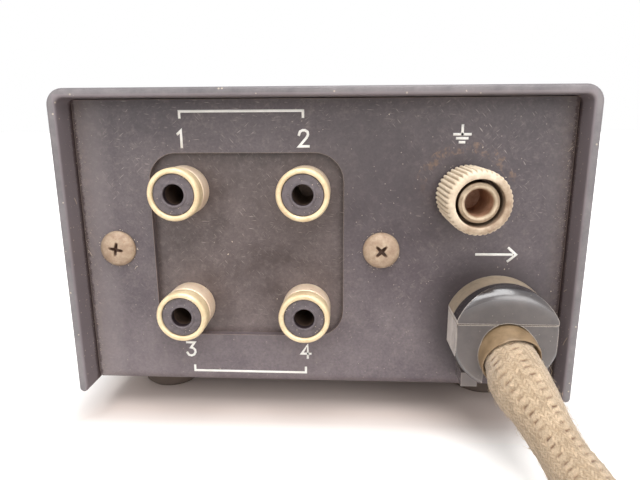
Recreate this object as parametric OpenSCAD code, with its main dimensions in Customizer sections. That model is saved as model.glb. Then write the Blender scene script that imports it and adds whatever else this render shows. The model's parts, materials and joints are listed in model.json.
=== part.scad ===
// Moving coil step-up transformer in a small bent-sheet case, seen from the rear as +Y.
// Front with the selector knob faces -Y, +X is to the right when looking from the front to the rear.
// Two pairs of phono sockets, a ground post and a captive braided output lead leave the rear panel.

/* [Case] */
// Outer width of the cover
case_w = 82; // [76:1:110]
// Height of the cover, without the feet
case_h = 50; // [48:1:80]
// Length of the cover from rim to rim
case_d = 130; // [126:1:180]
// Sheet thickness of the cover
cover_t = 1.4; // [1:0.1:2]
// Outer bend radius of the cover
cover_r = 2.6; // [2.2:0.1:5]
// How far the cover stands past the front and rear panels
overhang = 4.5; // [2.5:0.1:5]
// Sheet thickness of the chassis
sheet_t = 1.2; // [0.8:0.1:1.6]
// Outer bend radius of the chassis
sheet_r = 2; // [1.8:0.1:3]
// Room between the cover and the chassis
fit_gap = 0.15; // [0.05:0.05:0.4]
// Height of the chassis side flanges that take the cover screws
flange_h = 12; // [10:0.5:16]
// Length of the chassis side flanges
flange_len = 92; // [84:1:100]

/* [Feet] */
// Diameter of a rubber foot
foot_d = 12; // [9:0.5:16]
// Height of a rubber foot
foot_h = 6; // [5:0.5:10]
// Distance from a foot's axis to the side of the case
foot_in_x = 10; // [9:0.5:14]
// Distance from a foot's axis to the panel in front of or behind it
foot_in_y = 14; // [10:0.5:20]

/* [Fasteners] */
// Thread diameter of the case screws
screw_d = 3; // [2.5:0.1:3.5]
// Head diameter of the case screws
screw_head_d = 6; // [5:0.1:7]
// Head height of the case screws
screw_head_h = 1.9; // [1.4:0.1:2.4]
// Width of the cross recess in a screw head
recess_w = 0.9; // [0.6:0.1:1.2]
// Width across the flats of the screw nuts
nut_af = 5.5; // [5:0.1:6.5]
// Height of the screw nuts
nut_h = 2.4; // [1.8:0.1:3]
// Radial room around a thread or a pressed neck
thread_gap = 0.05; // [0.02:0.01:0.1]
// Distance between the two cover screws of one side
cover_screw_pitch = 80; // [60:1:82]

/* [Phono sockets] */
// Distance between neighbouring sockets
jack_pitch = 20; // [17:0.5:21]
// Distance from the +X side of the case to the middle of the four sockets
jack_in = 28.7; // [27.5:0.1:31]
// Centre of the four sockets, above the lower edge of the case
jack_z = 24; // [23:0.1:26]
// Outer diameter of a socket shell
jack_d = 8.3; // [8.2:0.1:9]
// Length of a socket shell in front of its plate
jack_len = 6.3; // [5:0.1:8]
// Wall of a socket shell
jack_wall = 1; // [0.8:0.1:1.2]
// Diameter of the threaded neck of a socket
jack_neck_d = 6.2; // [5.8:0.1:6.6]
// Diameter of the hole for the plug's pin
jack_hole_d = 3.3; // [3.2:0.1:3.5]
// Wall of the spring contact behind that hole
contact_wall = 0.3; // [0.2:0.05:0.4]
// Width of the window in the rear panel
window_w = 31.6; // [30:0.1:34]
// Height of the window in the rear panel
window_h = 31; // [30:0.1:34]
// Corner radius of the window
window_r = 4.6; // [3:0.1:6]
// How far the window's middle lies from the sockets' middle, towards -X
window_off = 0.4; // [0:0.1:0.8]
// Centre of the window, above the lower edge of the case
window_z = 24.6; // [23.5:0.1:26]
// Thickness of the insulating plate that carries the sockets
plate_t = 2; // [1.5:0.1:3]
// Width of the insulating plate
plate_w = 52; // [51:0.5:53]
// Height of the insulating plate
plate_h = 37; // [35:0.5:39]
// Distance between the two screws of the plate
plate_screw_pitch = 44; // [42:0.1:44.6]
// Height of the plate screws above the lower edge of the case
plate_screw_z = 24.3; // [22:0.1:26]
// Head height of the plate screws
plate_head_h = 1.3; // [1:0.1:2]
// Width across the flats of a socket nut
jack_nut_af = 9; // [8:0.1:10]
// Height of a socket nut
jack_nut_h = 2; // [1.5:0.1:3]
// Thickness of a solder lug
lug_t = 0.4; // [0.3:0.1:0.6]

/* [Ground post] */
// Distance from the sockets' middle to the post, towards -X
post_pitch = 35.5; // [34.5:0.1:38]
// Height of the post above the lower edge of the case
post_z = 33.5; // [30:0.1:37]
// Thread diameter of the stud
stud_d = 5.9; // [5.5:0.1:6.2]
// Length of the stud in front of the panel
stud_len = 9; // [8:0.1:12]
// Diameter of the test plug socket in the stud
socket_d = 4; // [3.9:0.05:4.2]
// Depth of the test plug socket
socket_len = 8; // [6:0.1:9]
// Diameter of the stud behind the panel
stud_tail_d = 4.8; // [4:0.1:5]
// Thickness of the stud's flange on the panel
stud_flange_t = 0.8; // [0.6:0.1:1.2]
// Diameter of the cap over its flutes
cap_d = 9.6; // [9.2:0.1:11]
// Diameter of the cap at its front
cap_front_d = 9; // [8.4:0.1:9.2]
// Length of the cap
cap_len = 9.3; // [8.5:0.1:12]
// Length of the smooth front of the cap
cap_front_len = 0.9; // [0.8:0.1:4]
// Number of flutes around the cap
cap_flutes = 40; // [24:1:48]
// Diameter of the front opening of the cap
cap_mouth_d = 6.9; // [6.6:0.05:7]
// Room between the tightened cap and the panel
cap_gap = 0.3; // [0.2:0.1:0.6]
// Radial running room between the cap and the stud
cap_run = 0.08; // [0.05:0.01:0.12]
// Thickness of the loose washer inside the cap
washer_t = 0.8; // [0.5:0.1:0.9]

/* [Strain relief] */
// Distance from the -X side of the case to the middle of the strain relief
relief_in = 11.8; // [11:0.1:13]
// Height of the strain relief above the lower edge of the case
relief_z = 11.9; // [11:0.1:14]
// Diameter of the round part of its head
relief_d = 16.6; // [15.5:0.1:18]
// Width of its head between the flats
relief_flats = 15.4; // [14.5:0.1:16]
// How far the head stands out of the panel
relief_proud = 7; // [6:0.1:8]
// Height of the parting line above the middle of the head
relief_split = 2.5; // [2:0.1:3]
// Width of the parting line
relief_seam = 0.12; // [0.05:0.01:0.3]
// Rounding of the upper half's front edge, at its top
relief_dome = 2.8; // [2:0.1:4]
// How far that rounding's axis lies below the middle of the head, so that it fades towards the flats
relief_drop = 5; // [4:0.1:6]
// Rounding of the lower half's front edge
relief_edge = 0.7; // [0.4:0.1:2]
// Diameter of the neck in the panel
relief_neck_d = 12.6; // [12:0.1:13]
// Width of the neck between its flats
relief_neck_flats = 11.6; // [11:0.1:12]
// Length of the neck behind the panel
relief_neck_len = 8; // [5:0.1:10]
// Width of the slit under the lead
relief_slit = 7; // [4:0.1:8]
// Outer diameter of the sleeve around the lead
sleeve_d = 9.3; // [9:0.1:10.4]
// Bore of the sleeve
sleeve_bore_d = 8.4; // [8.3:0.1:8.6]
// Length of the sleeve
sleeve_len = 5.4; // [4.8:0.1:9]

/* [Output lead] */
// Diameter of the braided output lead
cord_d = 7.6; // [6.8:0.1:7.7]
// Radius of the outermost turn of the coil
coil_r = 48; // [46:1:50]
// Distance between neighbouring turns and layers of the coil
coil_step = 8.2; // [8.1:0.1:8.6]
// Turns of the coil, half of them in each layer
coil_turns = 4; // [2:2:4]
// Width of the coil's tie
tie_w = 7; // [4:0.5:10]
// Thickness of the coil's tie
tie_t = 0.5; // [0.4:0.1:0.5]
// Diameter of each single lead behind the splitter
lead_d = 3.6; // [3:0.1:3.8]
// Length of the splitter
splitter_len = 26; // [20:1:32]
// Width of the splitter at its wide end
splitter_w = 12.4; // [11.5:0.1:14]
// Thickness of the splitter
splitter_t = 10.4; // [9.6:0.1:10.6]
// Diameter of a plug's handle
plug_d = 9.6; // [9:0.1:9.8]
// Length of a plug's handle
plug_len = 24; // [20:0.5:28]
// Outer diameter of a plug's shield ring
plug_ring_d = 9.2; // [9:0.1:9.4]
// Length of a plug's shield ring
plug_ring_len = 8; // [6:0.5:10]
// Wall of a plug's shield ring
plug_ring_wall = 0.4; // [0.3:0.05:0.45]
// Diameter of a plug's pin
pin_d = 3.2; // [3.1:0.05:3.25]
// Length of a plug's pin in front of its handle
pin_len = 14; // [12:0.5:16]

/* [Selector] */
// Height of the selector above the lower edge of the case
selector_z = 25; // [22:0.5:28]
// Diameter of the knob's skirt
knob_d = 26; // [22:0.5:30]
// Diameter of the knob's grip
knob_grip_d = 22; // [20:0.5:22]
// Length of the knob
knob_len = 14.3; // [12:0.1:18]
// Length of the knob's skirt
knob_skirt = 4; // [3:0.1:5]
// Room between the knob and the fascia
knob_gap = 0.8; // [0.5:0.1:1.2]
// Number of grooves around the grip
knob_grooves = 36; // [24:1:40]
// Width of the pointer line
pointer_w = 1.6; // [1:0.1:2.4]
// Thickness of the front fascia
fascia_t = 1.5; // [1:0.1:2]
// Diameter of the switch shaft
shaft_d = 6; // [5.8:0.1:6.35]
// Radial running room of the shaft in its bushing
shaft_run = 0.05; // [0.03:0.01:0.1]
// Thread diameter of the switch bushing
bushing_d = 9.4; // [9:0.1:10]
// Width across the flats of the switch nut
switch_nut_af = 12; // [11.5:0.1:13]
// Height of the switch nut
switch_nut_h = 2.2; // [1.8:0.1:2.4]
// Diameter of the switch frame and wafer
wafer_d = 27; // [25:0.5:29]
// Thickness of the switch frame and wafer
wafer_t = 1.6; // [1.2:0.1:2]
// Length of the posts between frame and wafer
switch_post_len = 14; // [10:0.5:18]
// Diameter of the switch posts
switch_post_d = 3.2; // [2.5:0.1:4]
// Number of tags around the wafer
wafer_tags = 8; // [4:2:10]

/* [Transformers] */
// Diameter of a shielding can
can_d = 32; // [31:0.5:34]
// Height of a shielding can
can_h = 36; // [34:0.5:38]
// Wall of a shielding can
can_wall = 1; // [0.6:0.1:1.4]
// Distance between the two cans
can_pitch = 38; // [36:0.5:40]
// Middle of the cans, from the rear panel towards the front
can_back = 52; // [44:1:58]
// Thickness of a can's base
base_t = 3; // [2.5:0.1:4]
// Width of the core
core_w = 24; // [20:0.5:25]
// Height of the core
core_h = 20; // [18:0.5:22]
// Thickness of the core stack
core_t = 8; // [6:0.5:9]
// Width of the core's middle leg
core_leg = 8; // [6:0.5:9]
// Width of the core's yokes
core_yoke = 4; // [3:0.5:5]
// Room around the winding
winding_gap = 0.2; // [0.1:0.05:0.4]

/* [Tag board and wiring] */
// Width of the tag board
board_w = 24; // [20:0.5:28]
// Height of the tag board
board_h = 14; // [12:0.5:18]
// Thickness of the tag board
board_t = 1.6; // [1.2:0.1:2]
// Depth of the tag board's foot
board_foot = 6; // [5:0.5:8]
// Distance of the tag board from the rear panel
board_back = 24; // [20:0.5:30]
// Distance from the -X side of the case to the tag board's middle
board_in = 16; // [15.5:0.5:19]
// Number of tags on the board
board_tags = 5; // [4:1:6]
// Diameter of the hook-up wires
wire_d = 1.6; // [1.2:0.1:1.8]

/* [Hidden] */
$fn = 64;
eps = 0.01;
cut = 1;

// Levels and planes
bottom_z = foot_h;
floor_z = bottom_z + sheet_t;
top_z = bottom_z + case_h;
ceiling_z = top_z - cover_t;
panel_gap = case_d - 2 * overhang;
cap_reach = cap_gap + cap_len;
cap_grip_len = cap_len - cap_front_len;
knob_reach = fascia_t + knob_gap + knob_len;
rear_y = (panel_gap + cap_reach + knob_reach) / 2 - cap_reach;
front_y = rear_y - panel_gap;
rear_in = rear_y - sheet_t;
front_in = front_y + sheet_t;
case_mid_y = (front_y + rear_y) / 2;
inner_w = case_w - 2 * cover_t;
chassis_w = inner_w - 2 * fit_gap;
panel_top = ceiling_z - fit_gap;

// Fasteners
shank_r = screw_d / 2 - thread_gap;
hole_r = screw_d / 2;
foot_x = case_w / 2 - foot_in_x;
foot_ys = [front_y + foot_in_y, rear_y - foot_in_y];
foot_recess = 2.6;
cover_screw_z = bottom_z + flange_h / 2;
cover_screw_len = cover_t + fit_gap + sheet_t + 3;

// Phono sockets
jack_x = case_w / 2 - jack_in;
window_x = jack_x - window_off;
jack_mid_z = bottom_z + jack_z;
jack_at = [for (row = [1, -1], col = [1, -1])
    [jack_x + col * jack_pitch / 2, rear_in, jack_mid_z + row * jack_pitch / 2]];
jack_r = jack_d / 2;
jack_bore_r = jack_r - jack_wall;
jack_neck_r = jack_neck_d / 2;
jack_stem_r = jack_neck_r - 0.8;
jack_hole_r = jack_hole_d / 2;
contact_r = jack_hole_r + contact_wall;
jack_floor = 1.2;
jack_lip = 0.4;
jack_groove_at = 3.4;
jack_groove_w = 0.5;
jack_groove_depth = 0.3;
jack_face = jack_len - 0.3;
jack_entry = 1.2;
jack_neck_len = plate_t + lug_t + jack_nut_h + 1;
jack_tail_len = 4;
jack_tail_r = 0.8;
jack_tail_end = jack_neck_len + 1 + jack_tail_len;
plate_screw_xs = [window_x - plate_screw_pitch / 2, window_x + plate_screw_pitch / 2];
plate_screw_mid_z = bottom_z + plate_screw_z;
plate_screw_len = sheet_t + plate_t + nut_h + 1;

// Ground post
post_at = [jack_x - post_pitch, rear_y, bottom_z + post_z];
stud_r = stud_d / 2;
stud_flange_r = stud_r + 0.55;
stud_tail_r = stud_tail_d / 2;
post_lug_t = 0.5;
post_nut_h = 3;
post_nut_af = 8;
stud_tail_len = sheet_t + post_lug_t + post_nut_h + 2;
cap_shoulder = stud_flange_t + washer_t + 1;
washer_y = cap_shoulder - 0.1 - washer_t;
washer_in_r = stud_r + 0.15;
washer_out_r = stud_flange_r + 0.05;
cap_pocket_r = washer_out_r + 0.15;
cap_mouth_depth = 3.4;
cap_edge = 0.5;
flute_r = 0.3;

// Strain relief and output lead
relief_at = [relief_in - case_w / 2, rear_y, bottom_z + relief_z];
cord_r = cord_d / 2;
cord_bore_r = cord_r + 0.35;
cord_x = relief_at[0] - 0.2;
cord_z = 16.5;
cord_origin = [cord_x, rear_y, 0];
coil_z = 4.4;
sleeve_r = sleeve_d / 2;
sleeve_seat = 3.5;
relief_seam_z = relief_at[2] + relief_split;
relief_tab = [2.6, 4, 2.4];
relief_lip = 0.02;
// Route of the lead from the strain relief to the coil: sideways, behind the panel, above the floor
lead_route = [
    [0, -10, 16.5], [0, -5, 16.5], [0, 0, 16.5], [-0.1, 5, 16], [-0.5, 10, 14.5], [-1.2, 15, 12.5],
    [-2.4, 20, 10], [-4, 25, 7.5], [-5.8, 31, 5.3], [-7.4, 38, 4.2], [-8.6, 46, 3.9], [-9.3, 56, 3.9],
    [-9.6, 66, 3.9], [-9.6, 76, 3.9], [-9.6, 85, 4.2], [-9.6, 92, 4.4]];
// Route of the lead from the coil to the splitter
tail_route = [
    [-9.6, 99.6, 12.6], [-9.4, 108, 12], [-8.6, 118, 10], [-6.4, 128, 7.4], [-2, 138, 5.8],
    [6, 145.4, 5.4], [16, 149.8, 5.4], [24, 151, 5.4], [32, 151, 5.4]];
// Routes of the two single leads from the splitter to their plugs
single_routes = [
    [[58.4, 154, 5.4], [63, 154, 4.6], [68, 154.6, 3], [72.4, 157.4, 2], [74.8, 161.8, 2], [74.8, 166.6, 2],
        [72, 170.8, 2.2], [67, 173, 3.4], [61, 173.4, 4.8], [56, 173.4, 5]],
    [[58.4, 148, 5.4], [64, 148, 4.6], [71, 148.6, 3], [78, 151.4, 2], [83.4, 156.6, 2], [86, 163.4, 2],
        [85.6, 171, 2], [82, 177.6, 2], [76, 182.4, 2.2], [69, 184.6, 3.2], [62, 185.2, 4.8], [56, 185.2, 5]]];
coil_start = lead_route[len(lead_route) - 1];
coil_mid = [coil_start[0] + coil_r, coil_start[1]];
coil_rings = 24;
coil_sides = 6;
coil_angle = 360 * coil_turns;
coil_turn_at = coil_angle / 2;
coil_in_r = coil_r - coil_step * coil_turns / 2;
coil_end_run = cord_d;
cord_sides = 10;
thin_sides = 8;
tie_room = 0.3;
splitter_at = tail_route[len(tail_route) - 1];
plug_nose = 3;

// Selector
selector_at = [0, front_y, bottom_z + selector_z];
shaft_r = shaft_d / 2;
knob_back = -fascia_t - knob_gap;
knob_pocket_r = switch_nut_af / 2 / cos(30) + 0.8;
knob_pocket = switch_nut_h + 1;
knob_bore = knob_len - 3;
knob_bevel = 0.8;
knob_groove_r = 0.5;
set_screw_r = 1.4;
set_screw_len = knob_grip_d / 2 - shaft_r - 1;
set_screw_y = knob_back - knob_skirt - set_screw_r - 1;
pointer_depth = 0.8;
pointer_len = knob_grip_d / 2 - 2;
bushing_r = bushing_d / 2;
wafer_y = sheet_t + wafer_t + switch_post_len;
switch_post_x = wafer_d / 2 - 3;
rotor_r = shaft_r + 3;
rotor_room = 0.3;
wafer_tag = [1.6, 0.4, 5];
tag_reach = 1.5;

// Transformers
can_y = rear_y - can_back;
can_xs = [-can_pitch / 2, can_pitch / 2];
can_r = can_d / 2;
base_r = can_r - can_wall;
core_z = floor_z + base_t;
base_screw_y = base_r - 5;
base_screw_len = sheet_t + base_t - 0.5;
winding_h = core_h - 2 * core_yoke - 2 * winding_gap;
winding_in_w = core_leg + 2 * winding_gap;
winding_in_d = core_t + 2 * winding_gap;
winding_wall = (core_w - 2 * core_yoke - core_leg) / 2 - 2 * winding_gap;
can_hole_r = 2.4;
can_hole_y = 5;

// Tag board and wiring
board_x = board_in - case_w / 2;
board_y = rear_y - board_back;
board_tag = [2, 0.4, 5];
board_tag_pitch = board_w / board_tags;
board_tag_z = floor_z + board_h - 2;
board_tag_mid_z = floor_z + board_h + 1.5;
wire_r = wire_d / 2;
solder_gap = 0.4;
loom_z = floor_z + can_h + 3;
winding_top = core_z + core_h / 2 + winding_h / 2;
// Lane of each input wire above the cans, and the turn of the switch tag that it ends at
input_lanes = [12, -3, 16, 5];
input_turns = [22.5, -67.5, 67.5, -22.5];

// Shared shapes

// Rod along +Y from its own origin
module rod_y(length, r) rotate([-90, 0, 0]) cylinder(h = length, r = r);

// Outline in X and Z, thick along +Y from y
module slab_y(y, t) translate([0, y + t, 0]) rotate([90, 0, 0]) linear_extrude(t) children();

// Profile of radius and distance, turned around the +Y direction
module turned_y() rotate([-90, 0, 0]) rotate_extrude() children();

// Hexagon nut along +Y with a round hole
module hex_nut_y(af, h, hole) rotate([-90, 0, 0]) difference() {
    cylinder(h = h, r = af / 2 / cos(30), $fn = 6);
    translate([0, 0, -cut]) cylinder(h = h + 2 * cut, r = hole);
}

// Rectangle with round corners, centred
module round_rect(w, h, r) union() {
    square([w - 2 * r, h], center = true);
    square([w, h - 2 * r], center = true);
    for (x = [-1, 1], y = [-1, 1])
        translate([x * (w / 2 - r), y * (h / 2 - r)]) circle(r);
}

// Rectangle from y0 to y1 and z0 to z1 whose two lower corners are round
module round_foot(y0, y1, z0, z1, r) union() {
    translate([y0, z0 + r]) square([y1 - y0, z1 - z0 - r]);
    translate([y0 + r, z0]) square([y1 - y0 - 2 * r, r + eps]);
    for (y = [y0 + r, y1 - r]) translate([y, z0 + r]) circle(r);
}

// Circle with two flats at the sides
module double_d(d, flats) intersection() {
    circle(d = d);
    square([flats, d + cut], center = true);
}

// Round-head screw with a cross recess: shank along -Y from the seat, head along +Y
module cross_screw(length, turn = 0, head_h = screw_head_h) {
    head_r = screw_head_d / 2;
    ball_r = (head_r * head_r + head_h * head_h) / (2 * head_h);
    difference() {
        union() {
            intersection() {
                translate([0, head_h - ball_r, 0]) sphere(ball_r);
                rod_y(head_h, head_r);
            }
            translate([0, -length, 0]) rod_y(length + eps, shank_r);
        }
        rotate([0, turn, 0]) for (a = [0, 90]) rotate([0, a, 0])
            translate([-head_r * 0.6, head_h * 0.45, -recess_w / 2])
                cube([head_r * 1.2, head_h, recess_w]);
    }
}

// Direction of a and direction of the curve at point i
function unit(a) = a / norm(a);
function heading(p, i) =
    i == 0 ? unit(p[1] - p[0]) :
    i == len(p) - 1 ? unit(p[i] - p[i - 1]) :
    unit(unit(p[i + 1] - p[i]) + unit(p[i] - p[i - 1]));
function square_to(n, t) = unit(n - (n * t) * t);
function first_side(t) = abs(t[2]) < 0.9 ? unit(cross(t, [0, 0, 1])) : unit(cross(t, [1, 0, 0]));
function sides_of(p) = [
    for (i = 0, n = first_side(heading(p, 0)); i < len(p);
        i = i + 1, n = i < len(p) ? square_to(n, heading(p, i)) : n) n];

// Smooth curve through hand-chosen points, with steps pieces between neighbours
function between(a, b, c, d, t) =
    0.5 * (2 * b + (c - a) * t + (2 * a - 5 * b + 4 * c - d) * t * t
        + (3 * b - a - 3 * c + d) * t * t * t);
function smooth(p, steps) = concat(
    [for (i = [0 : len(p) - 2], s = [0 : steps - 1])
        between(p[max(i - 1, 0)], p[i], p[i + 1], p[min(i + 2, len(p) - 1)], s / steps)],
    [p[len(p) - 1]]);

// Closed tube of triangles along the points p
module tube(p, r, sides) {
    n = sides_of(p);
    last = len(p) - 1;
    rings = [for (i = [0 : last], j = [0 : sides - 1])
        let (t = heading(p, i), a = 360 * j / sides)
            p[i] + r * (cos(a) * n[i] + sin(a) * cross(t, n[i]))];
    walls = [for (i = [0 : last - 1], j = [0 : sides - 1], half = [0, 1])
        let (k = (j + 1) % sides, a = i * sides, b = a + sides)
            half == 0 ? [a + j, b + j, b + k] : [a + j, b + k, a + k]];
    start_cap = [for (j = [1 : sides - 2]) [0, j, j + 1]];
    end_cap = [for (j = [1 : sides - 2]) [last * sides, last * sides + j + 1, last * sides + j]];
    polyhedron(points = rings, faces = concat(walls, start_cap, end_cap));
}

// Case

module cover() color("dimgray") difference() {
    translate([0, front_y - overhang, 0]) rotate([90, 0, 180])
        linear_extrude(case_d) cover_outline();
    for (side = [-1, 1], y = [-1, 1])
        translate([side * (case_w / 2 + cut), case_mid_y + y * cover_screw_pitch / 2, cover_screw_z])
            rotate([0, -side * 90, 0]) cylinder(h = cover_t + 2 * cut, r = hole_r);
}

// Section of the cover: two sides with round lower tips, and the top
module cover_outline() union() {
    difference() {
        rounded_top(case_w, top_z, cover_r);
        rounded_top(inner_w, ceiling_z, cover_r - cover_t);
    }
    for (side = [-1, 1])
        translate([side * (case_w - cover_t) / 2, bottom_z + cover_t / 2]) circle(d = cover_t);
}

// Section from the tips' middle up to z1, with round upper corners
module rounded_top(w, z1, r) union() {
    z0 = bottom_z + cover_t / 2;
    translate([-w / 2, z0]) square([w, z1 - r - z0]);
    translate([-w / 2 + r, z1 - r - eps]) square([w - 2 * r, r + eps]);
    for (side = [-1, 1]) translate([side * (w / 2 - r), z1 - r]) circle(r);
}

module chassis() color("#5a5356") difference() {
    union() {
        rotate([90, 0, 90]) translate([0, 0, -chassis_w / 2]) linear_extrude(chassis_w) difference() {
            round_foot(front_y, rear_y, bottom_z, panel_top, sheet_r);
            round_foot(front_in, rear_in, floor_z, panel_top + cut, sheet_r - sheet_t);
        }
        for (side = [-1, 1])
            translate([side * (chassis_w - sheet_t) / 2, case_mid_y, bottom_z + flange_h / 2])
                cube([sheet_t, flange_len, flange_h], center = true);
    }
    // Rear panel: window, plate screws, ground post and strain relief
    translate([window_x, 0, bottom_z + window_z])
        slab_y(rear_in - cut, sheet_t + 2 * cut) round_rect(window_w, window_h, window_r);
    for (x = plate_screw_xs)
        translate([x, rear_in - cut, plate_screw_mid_z]) rod_y(sheet_t + 2 * cut, hole_r);
    translate([post_at[0], rear_in - cut, post_at[2]]) rod_y(sheet_t + 2 * cut, stud_tail_r + thread_gap);
    translate([relief_at[0], 0, relief_at[2]]) slab_y(rear_in - cut, sheet_t + 2 * cut)
        double_d(relief_neck_d + 2 * thread_gap, relief_neck_flats + 2 * thread_gap);
    // Front panel: switch bushing
    translate([0, front_y - cut, selector_at[2]]) rod_y(sheet_t + 2 * cut, bushing_r + thread_gap);
    // Floor: feet and transformers
    for (x = [-foot_x, foot_x], y = foot_ys)
        translate([x, y, bottom_z - cut]) cylinder(h = sheet_t + 2 * cut, r = hole_r);
    for (x = can_xs, y = [-1, 1])
        translate([x, can_y + y * base_screw_y, bottom_z - cut])
            cylinder(h = sheet_t + 2 * cut, r = hole_r);
    // Side flanges: cover screws
    for (side = [-1, 1], y = [-1, 1])
        translate([side * (chassis_w / 2 + cut), case_mid_y + y * cover_screw_pitch / 2, cover_screw_z])
            rotate([0, -side * 90, 0]) cylinder(h = sheet_t + 2 * cut, r = hole_r);
}

module front_fascia() color("#2b2b2d") difference() {
    translate([0, 0, (bottom_z + panel_top) / 2])
        slab_y(front_y - fascia_t, fascia_t) round_rect(chassis_w, panel_top - bottom_z, cover_r - cover_t);
    translate([0, front_y - fascia_t - cut, selector_at[2]])
        rod_y(fascia_t + 2 * cut, bushing_r + thread_gap);
}

module feet() color("#1c1c1c") for (x = [-foot_x, foot_x], y = foot_ys) translate([x, y, 0]) difference() {
    rotate_extrude() polygon([
        [0, 0], [foot_d / 2 - 1.2, 0], [foot_d / 2 - 0.6, 0.6], [foot_d / 2, foot_h], [0, foot_h]]);
    translate([0, 0, -cut]) cylinder(h = foot_h + 2 * cut, r = hole_r);
    translate([0, 0, -cut]) cylinder(h = foot_recess + cut, r = screw_head_d / 2 + 0.3);
}

module foot_screws() color("silver") for (x = [-foot_x, foot_x], y = foot_ys)
    translate([x, y, foot_recess]) rotate([-90, 0, 0])
        cross_screw(foot_h - foot_recess + sheet_t + 1);

module cover_screws() color("silver") for (side = [-1, 1], y = [-1, 1])
    translate([side * case_w / 2, case_mid_y + y * cover_screw_pitch / 2, cover_screw_z])
        rotate([0, 0, -side * 90]) cross_screw(cover_screw_len);

// Phono sockets

module jack_plate() color("#3b2f2c") difference() {
    translate([window_x, 0, bottom_z + window_z])
        slab_y(rear_in - plate_t, plate_t) round_rect(plate_w, plate_h, 1.5);
    for (p = jack_at)
        translate([p[0], p[1] - plate_t - cut, p[2]]) rod_y(plate_t + 2 * cut, jack_neck_r + thread_gap);
    for (x = plate_screw_xs)
        translate([x, rear_in - plate_t - cut, plate_screw_mid_z]) rod_y(plate_t + 2 * cut, hole_r);
}

module jack_plate_screws() color("tan") for (i = [0, 1])
    translate([plate_screw_xs[i], rear_y, plate_screw_mid_z])
        cross_screw(plate_screw_len, i == 0 ? 45 : 10, plate_head_h);

module jack_plate_nuts() color("silver") for (x = plate_screw_xs)
    translate([x, rear_in - plate_t - nut_h, plate_screw_mid_z]) hex_nut_y(nut_af, nut_h, hole_r);

module jack_shell(i) color("wheat") translate(jack_at[i]) turned_y() polygon([
    [jack_stem_r, -jack_neck_len], [jack_neck_r, -jack_neck_len], [jack_neck_r, 0], [jack_r, 0],
    [jack_r, jack_groove_at], [jack_r - jack_groove_depth, jack_groove_at],
    [jack_r - jack_groove_depth, jack_groove_at + jack_groove_w], [jack_r, jack_groove_at + jack_groove_w],
    [jack_r, jack_len - jack_lip], [jack_r - jack_lip, jack_len],
    [jack_bore_r, jack_len], [jack_bore_r, jack_floor], [jack_stem_r, jack_floor]]);

module jack_insulator(i) color("#3a373a") translate(jack_at[i]) turned_y() polygon([
    [contact_r, -jack_neck_len - 1], [jack_stem_r, -jack_neck_len - 1], [jack_stem_r, jack_floor],
    [jack_bore_r, jack_floor], [jack_bore_r, jack_face], [jack_hole_r, jack_face],
    [jack_hole_r, jack_face - jack_entry], [contact_r, jack_face - jack_entry]]);

module jack_contact(i) color("goldenrod") translate(jack_at[i]) turned_y() polygon([
    [0, -jack_tail_end], [jack_tail_r, -jack_tail_end], [jack_tail_r, -jack_neck_len - 1],
    [contact_r, -jack_neck_len - 1], [contact_r, jack_face - jack_entry],
    [jack_hole_r, jack_face - jack_entry], [jack_hole_r, -jack_neck_len], [0, -jack_neck_len]]);

module jack_lugs() color("silver") for (p = jack_at) translate([p[0], 0, p[2]])
    slab_y(p[1] - plate_t - lug_t, lug_t) difference() {
        union() {
            circle(jack_nut_af / 2);
            translate([-1.2, 0]) square([2.4, jack_nut_af / 2 + 3]);
        }
        circle(jack_neck_r + thread_gap);
    }

module jack_nuts() color("silver") for (p = jack_at)
    translate([p[0], p[1] - plate_t - lug_t - jack_nut_h, p[2]])
        hex_nut_y(jack_nut_af, jack_nut_h, jack_neck_r + thread_gap);

// Ground post

module ground_stud() color("#c9bda6") translate(post_at) difference() {
    union() {
        rod_y(stud_len, stud_r);
        rod_y(stud_flange_t, stud_flange_r);
        translate([0, -stud_tail_len, 0]) rod_y(stud_tail_len + eps, stud_tail_r);
    }
    translate([0, stud_len - socket_len, 0]) rod_y(socket_len + cut, socket_d / 2);
}

module ground_cap() color("#d6bfa3") translate(post_at) difference() {
    union() {
        slab_y(cap_gap, cap_grip_len) difference() {
            circle(d = cap_d);
            for (i = [0 : cap_flutes - 1])
                rotate(360 * i / cap_flutes)
                    translate([cap_d / 2 + flute_r / 3, 0]) circle(flute_r, $fn = 24);
        }
        turned_y() polygon([
            [0, cap_gap + cap_grip_len - eps], [cap_d / 2 - flute_r, cap_gap + cap_grip_len - eps],
            [cap_front_d / 2, cap_reach - cap_edge], [cap_front_d / 2 - cap_edge, cap_reach],
            [0, cap_reach]]);
    }
    rod_y(cap_shoulder, cap_pocket_r);
    rod_y(cap_reach + cut, stud_r + cap_run);
    translate([0, cap_reach - cap_mouth_depth, 0]) rod_y(cap_mouth_depth + cut, cap_mouth_d / 2);
}

module ground_washer() color("silver") translate(post_at) translate([0, washer_y, 0]) difference() {
    rod_y(washer_t, washer_out_r);
    translate([0, -cut, 0]) rod_y(washer_t + 2 * cut, washer_in_r);
}

module ground_lug() color("silver") translate([post_at[0], 0, post_at[2]])
    slab_y(rear_in - post_lug_t, post_lug_t) difference() {
        union() {
            circle(post_nut_af / 2);
            translate([-1.5, -post_nut_af / 2 - 5]) square([3, post_nut_af / 2 + 5]);
        }
        circle(stud_tail_r + thread_gap);
    }

module ground_nut() color("silver")
    translate([post_at[0], rear_in - post_lug_t - post_nut_h, post_at[2]])
        hex_nut_y(post_nut_af, post_nut_h, stud_tail_r + thread_gap);

// Strain relief

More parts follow.
